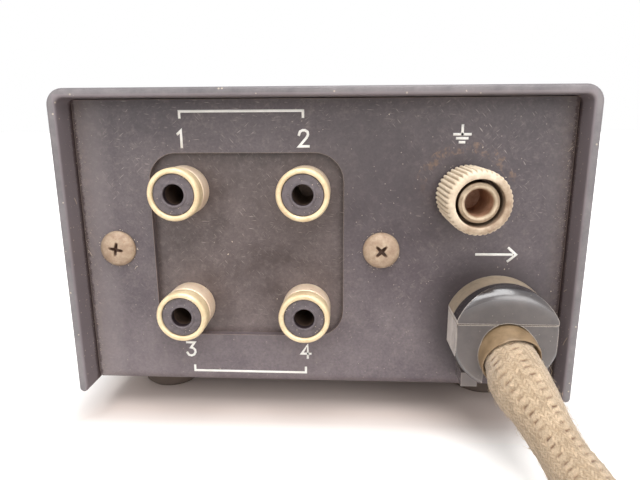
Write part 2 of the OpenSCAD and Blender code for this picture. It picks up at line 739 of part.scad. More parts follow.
// Head and neck with a front edge rounded by edge_r about an axis that lies drop below the middle.
// A dropped rounding is a little larger than the head, so that their round sides don't touch.
module relief_block(edge_r, drop = 0) translate(relief_at) union() {
    round_r = relief_d / 2 + drop * (1 + relief_lip);
    intersection() {
        slab_y(0, relief_proud) double_d(relief_d, relief_flats);
        translate([0, 0, -drop]) turned_y() union() {
            square([round_r, relief_proud - edge_r]);
            square([round_r - edge_r, relief_proud]);
            translate([round_r - edge_r, relief_proud - edge_r]) circle(edge_r);
        }
    }
    slab_y(-relief_neck_len, relief_neck_len + eps) double_d(relief_neck_d, relief_neck_flats);
}

// Passage of the lead, with the seat of its sleeve
module relief_passage() {
    translate([cord_x, rear_y - relief_neck_len - cut, cord_z])
        rod_y(relief_neck_len + relief_proud + 2 * cut, cord_bore_r);
    place_sleeve() rod_y(relief_proud + sleeve_len, sleeve_r);
}

// Moves a piece from the origin to the sleeve's seat, along the lead's own direction there
module place_sleeve() {
    way = lead_route[4] - lead_route[3];
    seat = cord_origin + lead_route[3] - way * (lead_route[3][1] - sleeve_seat) / way[1];
    translate(seat) rotate([asin(unit(way)[2]), 0, -atan2(way[0], way[1])]) children();
}

module relief_half(z0, z1) translate([-case_w / 2, rear_y - relief_neck_len - cut, z0])
    cube([case_w, relief_neck_len + relief_proud + 2 * cut, z1 - z0]);

module strain_relief_upper() color("#2e2b2c") difference() {
    intersection() {
        relief_block(relief_dome, relief_drop);
        relief_half(relief_seam_z + relief_seam / 2, top_z);
    }
    relief_passage();
}

module strain_relief_lower() color("#2e2b2c") difference() {
    union() {
        intersection() {
            relief_block(relief_edge);
            relief_half(0, relief_seam_z - relief_seam / 2);
        }
        translate([cord_x + relief_slit / 2 - eps, rear_y, relief_at[2] - relief_d / 2 - relief_tab[2] / 2])
            cube(relief_tab);
    }
    relief_passage();
    translate([cord_x - relief_slit / 2, rear_y + relief_tab[1] / 2, 0])
        cube([relief_slit, relief_proud, cord_z]);
}

module cord_sleeve() color("#b99b78") place_sleeve() difference() {
    rod_y(sleeve_len, sleeve_r);
    translate([0, -cut, 0]) rod_y(sleeve_len + 2 * cut, sleeve_bore_d / 2);
}

// Output lead

module output_cord() color("#d5bc9d") translate(cord_origin)
    tube(smooth(lead_route, 2), cord_r, cord_sides);

// Distance from the coil's axis and height at angle a: inwards below, then outwards above
function coil_radius(a) = coil_in_r + coil_step * abs(a - coil_turn_at) / 360;
function coil_height(a) = coil_z + coil_step * min(1, max(0, (a - coil_turn_at + 90) / 180));
coil_points = concat(
    [for (i = [0 : coil_turns * coil_rings]) let (a = 360 * i / coil_rings)
        [coil_mid[0] - coil_radius(a) * cos(a), coil_mid[1] + coil_radius(a) * sin(a), coil_height(a)]],
    [[coil_mid[0] - coil_r, coil_mid[1] + coil_end_run, coil_z + coil_step]]);
// Least gap between turns, measured between points that lie more than half a turn apart
coil_gap = min([for (i = [0 : len(coil_points) - 1], j = [i + coil_rings / 2 : len(coil_points) - 1])
    norm(coil_points[i] - coil_points[j])]) - cord_d;
echo(coil_gap = coil_gap);

module cord_coil() color("#d5bc9d") translate(cord_origin) tube(coil_points, cord_r, coil_sides);

module cord_tail() color("#d5bc9d") translate(cord_origin) tube(smooth(tail_route, 2), cord_r, cord_sides);

// Band around the turns on the coil's +X side
module cord_tie() color("#222222") {
    in_r = coil_in_r + coil_step / 2 - cord_r - tie_room;
    out_r = coil_r - coil_step / 2 + cord_r + tie_room;
    low = tie_t;
    high = coil_z + coil_step + cord_r + tie_room;
    translate([cord_origin[0] + coil_mid[0] + (in_r + out_r) / 2,
        cord_origin[1] + coil_mid[1] - tie_w / 2, (low + high) / 2])
        slab_y(0, tie_w) difference() {
            round_rect(out_r - in_r + 2 * tie_t, high - low + 2 * tie_t, 2);
            round_rect(out_r - in_r, high - low, 2 - tie_t);
        }
}

// Moulded splitter along +X with one round entry and two round exits
module cord_splitter() color("#2a2829") translate(cord_origin + splitter_at) hull() {
    rotate([0, 90, 0]) cylinder(h = splitter_len / 2, d = cord_d + 2, $fn = 32);
    for (y = [-1, 1]) translate([splitter_len - 1, y * (splitter_w - splitter_t) / 2, 0])
        rotate([0, 90, 0]) cylinder(h = 1, d = splitter_t * 0.75, $fn = 32);
    translate([splitter_len * 0.6, 0, 0]) rotate([0, 90, 0]) cylinder(h = 2, d = splitter_t, $fn = 32);
}

module single_lead(i) color("#d5bc9d") translate(cord_origin)
    tube(single_routes[i], lead_d / 2, thin_sides);

// Phono plug along -X from the end of its lead: handle, shield ring and socket for the pin
module plug(i) color("#2a2829") translate(cord_origin + plug_at(i)) rotate([0, 0, 90]) turned_y() {
    ring_r = plug_ring_d / 2;
    polygon([
        [0, 0], [lead_d / 2 + 0.8, 0], [plug_d / 2, plug_nose], [plug_d / 2, plug_len],
        [ring_r, plug_len], [ring_r, plug_len + plug_ring_len],
        [ring_r - plug_ring_wall, plug_len + plug_ring_len], [ring_r - plug_ring_wall, plug_len],
        [0, plug_len]]);
}

module plug_pin(i) color("silver") translate(cord_origin + plug_at(i)) rotate([0, 0, 90]) turned_y() {
    pin_r = pin_d / 2;
    polygon([
        [0, plug_len], [pin_r, plug_len], [pin_r, plug_len + pin_len - pin_r / 2],
        [pin_r / 2, plug_len + pin_len], [0, plug_len + pin_len]]);
}

function plug_at(i) = single_routes[i][len(single_routes[i]) - 1];

// Selector

// Turned knob along -Y with a grooved grip and a pocket for the switch nut
module selector_knob() color("silver") translate(selector_at) rotate([0, 0, 180]) difference() {
    union() {
        turned_y() polygon([
            [0, -knob_back], [knob_d / 2 - knob_bevel, -knob_back], [knob_d / 2, -knob_back + knob_bevel],
            [knob_d / 2, -knob_back + knob_skirt - knob_bevel],
            [knob_d / 2 - knob_bevel, -knob_back + knob_skirt], [0, -knob_back + knob_skirt]]);
        slab_y(-knob_back + knob_skirt - eps, knob_len - knob_skirt - knob_bevel) difference() {
            circle(d = knob_grip_d);
            for (i = [0 : knob_grooves - 1]) rotate(360 * i / knob_grooves)
                translate([knob_grip_d / 2 + knob_groove_r / 3, 0]) circle(knob_groove_r, $fn = 24);
        }
        turned_y() polygon([
            [0, knob_reach - knob_bevel - 2 * eps],
            [knob_grip_d / 2 - knob_groove_r, knob_reach - knob_bevel - 2 * eps],
            [knob_grip_d / 2 - knob_groove_r - knob_bevel, knob_reach], [0, knob_reach]]);
    }
    translate([0, -knob_back - cut, 0]) rod_y(knob_pocket + cut, knob_pocket_r);
    translate([0, -knob_back, 0]) rod_y(knob_bore, shaft_r);
    translate([-pointer_w / 2, knob_reach - pointer_depth, 2])
        cube([pointer_w, pointer_depth + cut, knob_d]);
    translate([0, -set_screw_y, 0]) rotate([0, 90, 0]) cylinder(h = knob_d, r = set_screw_r);
}

module knob_pointer() color("white") translate(selector_at)
    translate([-pointer_w / 2, -knob_reach, 2])
        cube([pointer_w, pointer_depth, pointer_len - 2]);

module knob_set_screw() color("#3a3a3a") translate(selector_at) translate([0, set_screw_y, 0])
    rotate([0, -90, 0]) translate([0, 0, shaft_r]) difference() {
        cylinder(h = set_screw_len, r = set_screw_r);
        translate([0, 0, set_screw_len - 1.4]) cylinder(h = 2, r = 0.75, $fn = 6);
    }

module switch_shaft() color("silver") translate(selector_at)
    translate([0, knob_back - knob_bore, 0]) rod_y(knob_bore - knob_back + wafer_y + wafer_t + 2, shaft_r);

module switch_bushing() color("silver") translate(selector_at) difference() {
    union() {
        translate([0, -fascia_t - switch_nut_h - 0.6, 0])
            rod_y(fascia_t + switch_nut_h + 0.6 + sheet_t + eps, bushing_r);
        translate([0, sheet_t, 0]) rod_y(wafer_t, wafer_d / 2);
    }
    translate([0, -fascia_t - switch_nut_h - cut, 0])
        rod_y(fascia_t + switch_nut_h + sheet_t + wafer_t + 3 * cut, shaft_r + shaft_run);
}

module switch_nut() color("silver") translate(selector_at)
    translate([0, -fascia_t - switch_nut_h, 0])
        hex_nut_y(switch_nut_af, switch_nut_h, bushing_r + thread_gap);

module switch_posts() color("silver") translate(selector_at) for (side = [-1, 1])
    translate([side * switch_post_x, sheet_t + wafer_t, 0]) rod_y(switch_post_len, switch_post_d / 2);

module switch_wafer() color("#8a6a45") translate(selector_at) difference() {
    translate([0, wafer_y, 0]) rod_y(wafer_t, wafer_d / 2);
    translate([0, wafer_y - cut, 0]) rod_y(wafer_t + 2 * cut, rotor_r + rotor_room);
}

module switch_tags() color("gold") translate(selector_at) for (i = [0 : wafer_tags - 1])
    rotate([0, 360 * (i + 0.5) / wafer_tags, 0])
        translate([-wafer_tag[0] / 2, wafer_y + wafer_t, wafer_d / 2 + tag_reach - wafer_tag[2]])
            cube(wafer_tag);

module switch_rotor() color("#d8c9a8") translate(selector_at) difference() {
    translate([0, wafer_y, 0]) rod_y(wafer_t, rotor_r);
    translate([0, wafer_y - cut, 0]) rod_y(wafer_t + 2 * cut, shaft_r);
}

// Transformers

module transformer_cans() color("#8d8f94") for (x = can_xs) translate([x, can_y, floor_z]) difference() {
    cylinder(h = can_h, r = can_r);
    translate([0, 0, -cut]) cylinder(h = can_h - can_wall + cut, r = base_r);
    for (y = [-can_hole_y, can_hole_y])
        translate([0, y, can_h - can_wall - cut]) cylinder(h = can_wall + 2 * cut, r = can_hole_r);
}

module transformer_bases() color("#4a3a2c") for (x = can_xs) translate([x, can_y, floor_z]) difference() {
    cylinder(h = base_t, r = base_r);
    for (y = [-1, 1]) translate([0, y * base_screw_y, -cut]) cylinder(h = base_t - 0.2 + cut, r = hole_r);
}

// Stack of laminations with two windows, upright on its base
module transformer_cores() color("#6b6f75") for (x = can_xs)
    translate([x, 0, core_z + core_h / 2]) slab_y(can_y - core_t / 2, core_t) difference() {
        square([core_w, core_h], center = true);
        for (side = [-1, 1])
            translate([side * (core_leg + (core_w - 2 * core_yoke - core_leg) / 2) / 2, 0])
                square([(core_w - 2 * core_yoke - core_leg) / 2, core_h - 2 * core_yoke], center = true);
    }

module transformer_windings() color("#a5542d") for (x = can_xs)
    translate([x, can_y, core_z + core_h / 2]) difference() {
        cube([winding_in_w + 2 * winding_wall, winding_in_d + 2 * winding_wall, winding_h], center = true);
        cube([winding_in_w, winding_in_d, winding_h + cut], center = true);
    }

module transformer_screws() color("silver") for (x = can_xs, y = [-1, 1])
    translate([x, can_y + y * base_screw_y, bottom_z]) rotate([-90, 0, 0]) cross_screw(base_screw_len);

// Tag board and wiring

module tag_board() color("#8a6a45") translate([board_x - board_w / 2, board_y, floor_z]) union() {
    cube([board_w, board_t, board_h]);
    cube([board_w, board_foot, board_t]);
}

function board_tag_x(i) = board_x + board_tag_pitch * (i + 0.5 - board_tags / 2);

module board_tags() color("gold") for (i = [0 : board_tags - 1])
    translate([board_tag_x(i) - board_tag[0] / 2, board_y - board_tag[1], board_tag_z])
        cube(board_tag);

// Places that the wires end at
function wafer_tag_at(turn) = selector_at + [
    (wafer_d / 2) * sin(turn), wafer_y + wafer_t + wafer_tag[1], (wafer_d / 2) * cos(turn)];
function board_tag_front(i) = [board_tag_x(i), board_y - board_tag[1], board_tag_mid_z];
function board_tag_rear(i) = [board_tag_x(i), board_y, board_tag_mid_z];

// One hook-up wire along p, which stops a solder joint's thickness before its two ends
module wire(p) {
    last = len(p) - 1;
    from = p[0] + solder_gap * unit(p[1] - p[0]);
    to = p[last] + solder_gap * unit(p[last - 1] - p[last]);
    tube(smooth(concat([from], [for (i = [1 : last - 1]) p[i]], [to]), 2), wire_r, thin_sides);
}

module wiring() color("#a03030") {
    input_wires();
    transformer_wires();
    output_wires();
}

// From the four socket contacts to the switch, each in its own lane above the cans
module input_wires() for (i = [0 : 3]) {
    start = jack_at[i] - [0, jack_tail_end, 0];
    goal = wafer_tag_at(input_turns[i]);
    back = start[1] - (i < 2 ? 3 : 6);
    lane = input_lanes[i];
    wire([
        start, start - [0, 1.6, 0], [start[0], back, min(start[2] + 4, loom_z - 5)],
        [start[0], back, loom_z - 4],
        [lane, back - 6, loom_z], [lane, can_y, loom_z], [lane, can_y - can_r, loom_z],
        [goal[0], goal[1] + 12, goal[2] + 5], [goal[0], goal[1] + 4, goal[2]], goal]);
}

// From the switch to the cans and from the cans to the tag board, through holes in their tops
module transformer_wires() for (i = [0, 1]) {
    side = i == 0 ? -1 : 1;
    start = wafer_tag_at(side * 112.5);
    into = [can_xs[i], can_y - can_hole_y, winding_top];
    out = [can_xs[i], can_y + can_hole_y, winding_top];
    goal = board_tag_front(i == 0 ? 1 : 3);
    wire([
        start, start + [0, 4, 0], start + [side * 5, 12, 4],
        [into[0] + side * 2, can_y - can_r - 6, loom_z - 2],
        [into[0] + side, into[1] - 5, loom_z + 2], [into[0], into[1], loom_z - 1],
        [into[0], into[1], core_z + core_h], into]);
    over = i == 0 ? loom_z : loom_z + wire_d * 2.5;
    wire([
        out, [out[0], out[1], core_z + core_h], [out[0], out[1], loom_z - 1],
        [out[0] - side * 2, out[1] + 4, over], [goal[0] + 10, out[1] + 8, over],
        [goal[0], goal[1] - 9, loom_z - 4], [goal[0], goal[1] - 5, goal[2] + 8],
        [goal[0], goal[1] - 3, goal[2]], goal]);
}

// From the tag board to the output lead and to the ground post
module output_wires() {
    lead_end = cord_origin + lead_route[0];
    for (i = [0, 1]) {
        start = lead_end + [(i * 2 - 1) * cord_r / 2, 0, 0];
        goal = board_tag_rear(i + 1);
        wire([
            start, start - [0, 2, 0], [(start[0] + goal[0]) / 2, (start[1] + goal[1]) / 2, goal[2]],
            goal + [0, 3, 0], goal]);
    }
    start = [post_at[0], rear_in - post_lug_t, post_at[2] - post_nut_af / 2 - 3.5];
    goal = board_tag_rear(board_tags - 1);
    wire([
        start, start - [0, 3, 0], (start + goal) / 2, goal + [0, 3, 0], goal]);
}

cover();
chassis();
front_fascia();
feet();
foot_screws();
cover_screws();
jack_plate();
jack_plate_screws();
jack_plate_nuts();
for (i = [0 : 3]) jack_shell(i);
for (i = [0 : 3]) jack_insulator(i);
for (i = [0 : 3]) jack_contact(i);
jack_lugs();
jack_nuts();
ground_stud();
ground_cap();
ground_washer();
ground_lug();
ground_nut();
strain_relief_upper();
strain_relief_lower();
cord_sleeve();
output_cord();
cord_coil();
cord_tail();
cord_tie();
cord_splitter();
single_lead(0);  // lead_left
single_lead(1);  // lead_right
plug(0);  // plug_left
plug(1);  // plug_right
plug_pin(0);  // plug_pin_left
plug_pin(1);  // plug_pin_right
selector_knob();
knob_pointer();
knob_set_screw();
switch_shaft();
switch_bushing();
switch_nut();
switch_posts();
switch_wafer();
switch_tags();
switch_rotor();
transformer_cans();
transformer_bases();
transformer_cores();
transformer_windings();
transformer_screws();
tag_board();
board_tags();
wiring();
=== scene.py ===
# %% [markdown]
# # Moving coil step-up transformer, seen from the rear
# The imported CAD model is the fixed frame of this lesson. Everything below dresses it: a worn sheet
# cover, old sockets, a ground post, a split strain relief and a braided lead. All lengths are metres,
# and places are written in millimetres times `mm`, because the object is small.

# %% Load the frame
import json
import math

import bmesh
import bpy
import numpy as np
from mathutils import Matrix, Vector


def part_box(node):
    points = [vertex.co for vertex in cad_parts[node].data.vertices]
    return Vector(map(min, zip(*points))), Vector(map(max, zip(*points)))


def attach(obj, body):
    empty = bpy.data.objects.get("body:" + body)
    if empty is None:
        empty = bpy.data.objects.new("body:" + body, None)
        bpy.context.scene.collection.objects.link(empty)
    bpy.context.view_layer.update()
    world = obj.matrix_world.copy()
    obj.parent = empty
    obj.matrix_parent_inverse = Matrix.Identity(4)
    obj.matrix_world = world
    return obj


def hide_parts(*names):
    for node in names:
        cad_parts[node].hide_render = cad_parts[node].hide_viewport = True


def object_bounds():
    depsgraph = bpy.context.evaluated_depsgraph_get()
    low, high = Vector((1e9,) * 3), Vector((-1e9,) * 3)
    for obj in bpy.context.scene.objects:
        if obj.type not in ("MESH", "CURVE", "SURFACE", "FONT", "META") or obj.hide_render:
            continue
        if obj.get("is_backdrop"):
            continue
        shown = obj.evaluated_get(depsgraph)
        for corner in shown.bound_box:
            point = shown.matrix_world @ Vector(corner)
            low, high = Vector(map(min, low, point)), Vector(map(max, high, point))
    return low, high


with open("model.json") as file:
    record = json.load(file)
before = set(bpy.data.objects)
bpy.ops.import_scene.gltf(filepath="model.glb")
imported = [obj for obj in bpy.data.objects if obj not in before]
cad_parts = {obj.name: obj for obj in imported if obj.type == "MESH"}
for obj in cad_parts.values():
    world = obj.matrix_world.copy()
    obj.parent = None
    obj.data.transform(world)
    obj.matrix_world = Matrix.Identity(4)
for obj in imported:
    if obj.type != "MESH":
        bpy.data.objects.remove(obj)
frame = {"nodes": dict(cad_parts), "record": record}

mm = 0.001
cad_box = [list(corner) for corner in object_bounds()]
nodes = frame["nodes"]
panel_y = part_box("chassis")[1].y
print("CAD box:", cad_box, "rear panel at y =", round(panel_y, 5))

# %% [markdown]
# ## Camera
# The photograph is a close view with a short lens, a little above the middle of the panel. Its place and
# its lens were found by fitting a pinhole camera to the case's edges and the four sockets. A 36 mm wide
# sensor and the fitted focal length in pixels give the lens.

# %% Camera
image_width = 640
focal_pixels = 508.73
sensor_width = 36.0
eye = Vector((-4.42 * mm, panel_y + 81.37 * mm, 50.53 * mm))
look = Vector((0.05206, -0.97364, -0.22207)).normalized()
upright = Vector((0.00712, -0.22201, 0.97502))
right = look.cross(upright).normalized()
camera_data = bpy.data.cameras.new("camera")
camera_data.sensor_width = sensor_width
camera_data.lens = sensor_width * focal_pixels / image_width
camera_data.clip_start = 5 * mm
camera = bpy.data.objects.new("camera", camera_data)
camera.matrix_world = Matrix((right, right.cross(look), -look)).transposed().to_4x4()
camera.location = eye
bpy.context.scene.collection.objects.link(camera)
bpy.context.scene.camera = camera
bpy.context.scene.view_settings.view_transform = "Standard"
print("lens", round(camera_data.lens, 2), "mm")

# %% [markdown]
# ## Tools for making meshes
# Most pieces here are rows of points joined by quads: a tube is rings along a line, a turned piece is
# rings around an axis. One function makes an object of such a mesh, lets it ride on a CAD body and says
# which CAD nodes it stands for.


# %% Mesh tools
def grid_faces(rows, around):
    """Quads between neighbouring rings of points, as an array of corner numbers."""
    j = np.arange(around)
    k = (j + 1) % around
    first = (np.arange(rows - 1) * around)[:, None]
    return np.stack([first + j, first + k, first + around + k, first + around + j], -1).reshape(-1, 4)


def piece(name, points, faces, body="root", stands_for=(), slot=None, smooth=True):
    """A mesh object of these points that rides on a body and replaces CAD nodes."""
    mesh = bpy.data.meshes.new(name)
    mesh.from_pydata(np.asarray(points).reshape(-1, 3).tolist(), [], [list(map(int, f)) for f in faces])
    mesh.validate()
    if smooth:
        mesh.shade_smooth()
    obj = bpy.data.objects.new(name, mesh)
    bpy.context.scene.collection.objects.link(obj)
    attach(obj, body)
    if stands_for:
        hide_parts(*stands_for)
    return obj


def close_up(obj, same_place=1e-6, no_length=1e-7):
    """Merges points that lie on each other and turns all faces outwards."""
    work = bmesh.new()
    work.from_mesh(obj.data)
    bmesh.ops.remove_doubles(work, verts=work.verts, dist=same_place)
    bmesh.ops.dissolve_degenerate(work, edges=work.edges, dist=no_length)
    bmesh.ops.recalc_face_normals(work, faces=work.faces)
    work.to_mesh(obj.data)
    work.free()
    obj.data.shade_smooth()
    return obj


def joined(meshes):
    """Several (points, faces) as one."""
    starts = np.cumsum([0] + [len(points) for points, _ in meshes])
    faces = [[int(c) + int(start) for c in face] for start, (_, mesh) in zip(starts, meshes) for face in mesh]
    return np.vstack([points for points, _ in meshes]), faces


print("mesh tools ready")

# %% [markdown]
# ## Turned forms
# Sockets, screws, cap, stud, sleeve and plugs are made on a lathe or in round moulds. Blender's Spin or Screw
# could make them, but a function that writes the rings itself can also change radius and distance with the
# angle. That gives flutes, recesses and torn edges without cutting.


# %% Turned forms
def soften(profile, radius, steps=4, most=0.45):
    """A profile in millimetres with curves at its corners, which take at most this share of an edge."""
    points = [np.array(p, float) for p in profile]
    out = [points[0]]
    for before, corner, after in zip(points, points[1:], points[2:]):
        reach = [min(radius, most * np.linalg.norm(q - corner)) for q in (before, after)]
        a = corner + (before - corner) / np.linalg.norm(before - corner) * reach[0]
        b = corner + (after - corner) / np.linalg.norm(after - corner) * reach[1]
        for t in np.linspace(0, 1, steps + 1):
            out.append((1 - t) ** 2 * a + 2 * t * (1 - t) * corner + t * t * b)
    return out + [points[-1]]


def square_axes(way):
    """The unit direction of way and two that are square to it and to each other."""
    way = Vector(way).normalized()
    side = way.cross(Vector((0, 0, 1)) if abs(way.z) < 0.9 else Vector((1, 0, 0))).normalized()
    return np.array(way), np.array(side), np.array(side.cross(way))


def lathe(profile, at, way=(0, 1, 0), around=96, shape=None):
    """Points and faces of a turned form: profile is (radius, distance along way) in millimetres.

    shape may change radius and distance with the angle.
    """
    way, side, rise = square_axes(way)
    angle = np.linspace(0, 2 * np.pi, around, endpoint=False)
    ring = np.cos(angle)[:, None] * side + np.sin(angle)[:, None] * rise
    rows = []
    for r, d in profile:
        r, d = np.full(around, float(r)), np.full(around, float(d))
        if shape:
            r, d = shape(angle, r, d)
        rows.append(np.array(at) + (r[:, None] * ring + d[:, None] * way) * mm)
    return np.array(rows).reshape(-1, 3), grid_faces(len(rows), around)


def turned(name, profile, at, way=(0, 1, 0), around=96, shape=None, **about):
    """A lathe piece as an object; at is its origin in metres."""
    return close_up(piece(name, *lathe(profile, at, way, around, shape), **about))


print("lathe ready")

# %% [markdown]
# ## The route of the output lead
# The lead leaves the strain relief level, bends down to the table and lies there. What the photograph
# doesn't show is put away: a flat coil of two layers behind the unit, a tail, a splitter and two single
# leads. The points repeat the CAD route in millimetres, and a smooth curve runs through them.

# %% Lead route
lead_d = 7.6 * mm
lead_origin = np.array((-29.4 * mm, panel_y, 0))
lead_route = [
    (0, 0, 16.5), (-0.1, 5, 16), (-0.5, 10, 14.5), (-1.2, 15, 12.5),
    (-2.4, 20, 10), (-4, 25, 7.5), (-5.8, 31, 5.3), (-7.4, 38, 4.2), (-8.6, 46, 3.9), (-9.3, 56, 3.9),
    (-9.6, 66, 3.9), (-9.6, 76, 3.9), (-9.6, 85, 4.2), (-9.6, 92, 4.4)]
tail_route = [
    (-9.6, 99.6, 12.6), (-9.4, 108, 12), (-8.6, 118, 10), (-6.4, 128, 7.4), (-2, 138, 5.8),
    (6, 145.4, 5.4), (16, 149.8, 5.4), (24, 151, 5.4), (32, 151, 5.4)]
coil_r, coil_step, coil_turns, coil_z = 48.0, 8.2, 4, 4.4


def coil_route(points_per_turn=48):
    """Spiral inwards on the floor, then outwards on top of it, as in the CAD source."""
    inner = coil_r - coil_step * coil_turns / 2
    a = np.linspace(0, 2 * np.pi * coil_turns, points_per_turn * coil_turns + 1)
    half_way = np.pi * coil_turns
    r = inner + coil_step * np.abs(a - half_way) / (2 * np.pi)
    z = coil_z + coil_step * np.clip((a - half_way + np.pi / 2) / np.pi, 0, 1)
    x, y = lead_route[-1][0] + coil_r, lead_route[-1][1]
    return np.stack([x - r * np.cos(a), y + r * np.sin(a), z], -1)


print(len(lead_route) + len(tail_route), "points and a coil of", coil_turns, "turns")

# %% [markdown]
# ## Smooth lines
# Blender's own curves could carry the lead, but its threads need the length along the line at each point.
# So the line is kept as points: a Catmull-Rom curve through the route, then points at even steps.


# %% Smooth lines
def smooth_line(points, steps=12):
    """Catmull-Rom curve through the points."""
    p = np.array(points, float)
    p = np.vstack([2 * p[0] - p[1], p, 2 * p[-1] - p[-2]])
    t = np.linspace(0, 1, steps, endpoint=False)[:, None]
    rows = [
        0.5 * (2 * b + (c - a) * t + (2 * a - 5 * b + 4 * c - d) * t**2 + (3 * b - a - 3 * c + d) * t**3)
        for a, b, c, d in zip(p, p[1:], p[2:], p[3:])]
    return np.vstack(rows + [p[-2:-1]])


def even_line(points, step):
    """The same line with points a fixed step apart, and how far along it each lies."""
    points = np.asarray(points)
    far = np.concatenate([[0], np.cumsum(np.linalg.norm(np.diff(points, axis=0), axis=1))])
    s = np.linspace(0, far[-1], int(round(far[-1] / step)) + 1)
    return np.stack([np.interp(s, far, points[:, i]) for i in range(3)], -1), s


def length_of(points):
    """Length of a line in metres."""
    return even_line(points, 1 * mm)[1][-1]


def frames_along(line, first=None):
    """Direction and two square axes at each point, turned as little as possible along the line."""
    way = np.gradient(line, axis=0)
    way /= np.linalg.norm(way, axis=1)[:, None]
    side = [square_axes(way[0])[1] if first is None else first]
    for t in way[1:]:
        s = side[-1] - np.dot(side[-1], t) * t
        side.append(s / np.linalg.norm(s))
    side = np.array(side)
    return way, side, np.cross(way, side)


lead_line = np.vstack([smooth_line(lead_route), coil_route()[1:], smooth_line(tail_route)])
lead_line = lead_origin + lead_line * mm

# %% [markdown]
# ## Stitches of the jacket
# The lead wears a soft cotton braid with two rows of thicker stitches and brown gaps between them, darkened
# with painted shade. No two stitches are quite alike, so each has its own strength and shift, drawn by a
# seeded generator. The function tells for every point of the tube how far it lies in such a row, on a stitch
# or in a gap.

# %% Stitches
stitch_pitch = 1.15 * mm
stitch_kinds = 400  # stitches of a row that differ
gap_half = 0.13 * mm  # half the thickness of the gap between two stitches
gap_reach = 0.5 * mm  # half its length around the lead
gap_edge, gap_end = 0.16 * mm, 0.3 * mm  # how softly its sides and its ends fade
gap_slope = 0.2
wander_at = np.arange(0, 1.3, 1.5 * mm)


def stitches(s, u, width, rows, random):
    """Three shares at each point: within a row of stitches, on a stitch's back, in a brown gap with painted
    shade.
    """
    within, back, gap = np.zeros((3, *u.shape))
    for row in rows:
        strength = random.uniform(0.3, 1.0, stitch_kinds)
        shift = random.normal(0, 0.11, stitch_kinds) * mm
        wander = np.interp(s, wander_at, random.normal(0, 0.12, len(wander_at))) * mm
        across = (u - row) * width + wander[:, None]
        count = (s[:, None] - gap_slope * across) / stitch_pitch
        number = np.floor(count).astype(int) % stitch_kinds
        off = np.abs((count % 1 - 0.5) * stitch_pitch - shift[number])
        near = np.exp(-((across / (1.2 * gap_reach)) ** 2))
        wedge = gap_half * (0.75 + 0.5 * np.clip(across / gap_reach, -1, 1))
        stroke = np.clip((wedge - off) / gap_edge + 0.5, 0, 1)
        stroke *= np.clip((gap_reach - np.abs(across)) / gap_end + 0.5, 0, 1) * strength[number]
        within = np.maximum(within, near)
        back = np.maximum(back, near * np.sin(np.pi * (count % 1 - 0.5)) ** 2)
        gap = np.maximum(gap, stroke)
    return within, back, gap


print("stitches every", stitch_pitch / mm, "mm")

# %% [markdown]
# ## A braided tube
# Slanting threads lie in narrow columns, leaning left and right in turn. A bump map would look flat at the
# lead's edge, so the threads are in the mesh: each point of the tube is raised by a rounded thread and
# lowered between two threads. Tint, height and share of brown gap are kept with each point for the material,
# which lays painted shade on the low places and in the gaps.

# %% Braid
twist = -4.5  # turns of the columns per metre
thread_lean = 1.1  # how far a thread climbs across its column, in threads
thread_kinds = 97  # threads of a column that differ


def braid(line, radius, columns, pitch, rows, across, step, start=0.0, first=None, relief=0.06 * mm, seed=4):
    """Points, faces with both ends closed, thread values and the last side axis of a braided tube.

    radius is a function of the distance and the angle. start and first go on from a stretch before.
    """
    line, s = even_line(line, step)
    s = s + start
    random = np.random.default_rng(seed)
    way, side, rise = frames_along(line, first)
    around = columns * across
    u, v = np.meshgrid(np.arange(around) / across, s / pitch)
    angle = 2 * np.pi * (u / columns + twist * s[:, None])
    core = radius(s[:, None], angle)
    column = np.floor(u).astype(int)
    x = u - column
    lean = np.where(column % 2 == 0, thread_lean, -thread_lean)
    y = v + lean * (x - 0.5) + random.normal(0, 0.1, columns)[column]
    thread = np.floor(y).astype(int) % thread_kinds
    crown = np.sqrt(np.clip(1 - (2 * (y - np.floor(y)) - 1) ** 2, 0, 1))
    dive = np.sin(np.pi * np.clip(x, 0.06, 0.94)) ** 0.6
    within, back, gap = stitches(s, u, 2 * np.pi * core.mean() / columns, rows, random)
    swell_up = random.uniform(0.45, 1.15, (columns, thread_kinds))[column, thread]
    height = crown * (0.35 + 0.65 * dive) * swell_up * (1 - 0.4 * within) + 0.8 * back
    tint = random.normal(1, 0.06, (columns, thread_kinds))[column, thread]
    r = core + relief * (height - 0.9 - 2.2 * gap)
    points = line[:, None] + r[..., None] * (
        np.cos(angle)[..., None] * side[:, None] + np.sin(angle)[..., None] * rise[:, None])
    ends = [np.arange(around)[::-1], np.arange(around) + (len(line) - 1) * around]
    faces = [*grid_faces(len(line), around), *ends]
    return points.reshape(-1, 3), faces, np.stack([tint, height, gap], -1).reshape(-1, 3), side[-1]


def thread_attribute(obj, threads):
    """Keeps tint, height and share of brown with each point."""
    attribute = obj.data.attributes.new("thread", "FLOAT_COLOR", "POINT")
    colours = np.ones((len(obj.data.vertices), 4), np.float32)
    colours[:, :3] = threads
    attribute.data.foreach_set("color", colours.ravel())


print("braid ready")

# %% [markdown]
# ## The lead's jacket
# The jacket isn't of one width: it is swollen to one side behind the sleeve and pulled narrow where the lead
# bends down. Two short tables give its width along the lead. Only the stretch near the unit has the full
# number of points, because the coil is never seen so close.

# %% Jacket of the lead
jacket = [(0, 1), (9, 1.03), (13, 1.05), (16, 1.0), (20, 0.89), (23, 0.83), (25, 0.85), (27, 0.92),
          (31, 0.96), (42, 1)]  # distance in millimetres, share of the diameter
swell = [(0, 0), (9, 0.2), (12, 0.9), (15, 0.7), (17, 0.2), (18.5, 0)]  # both in millimetres
lead_columns, stitch_rows = 40, (32.6, 38.5)
thread_pitch = stitch_pitch / 2
near_points = 10  # points of the route before the coarser stretch


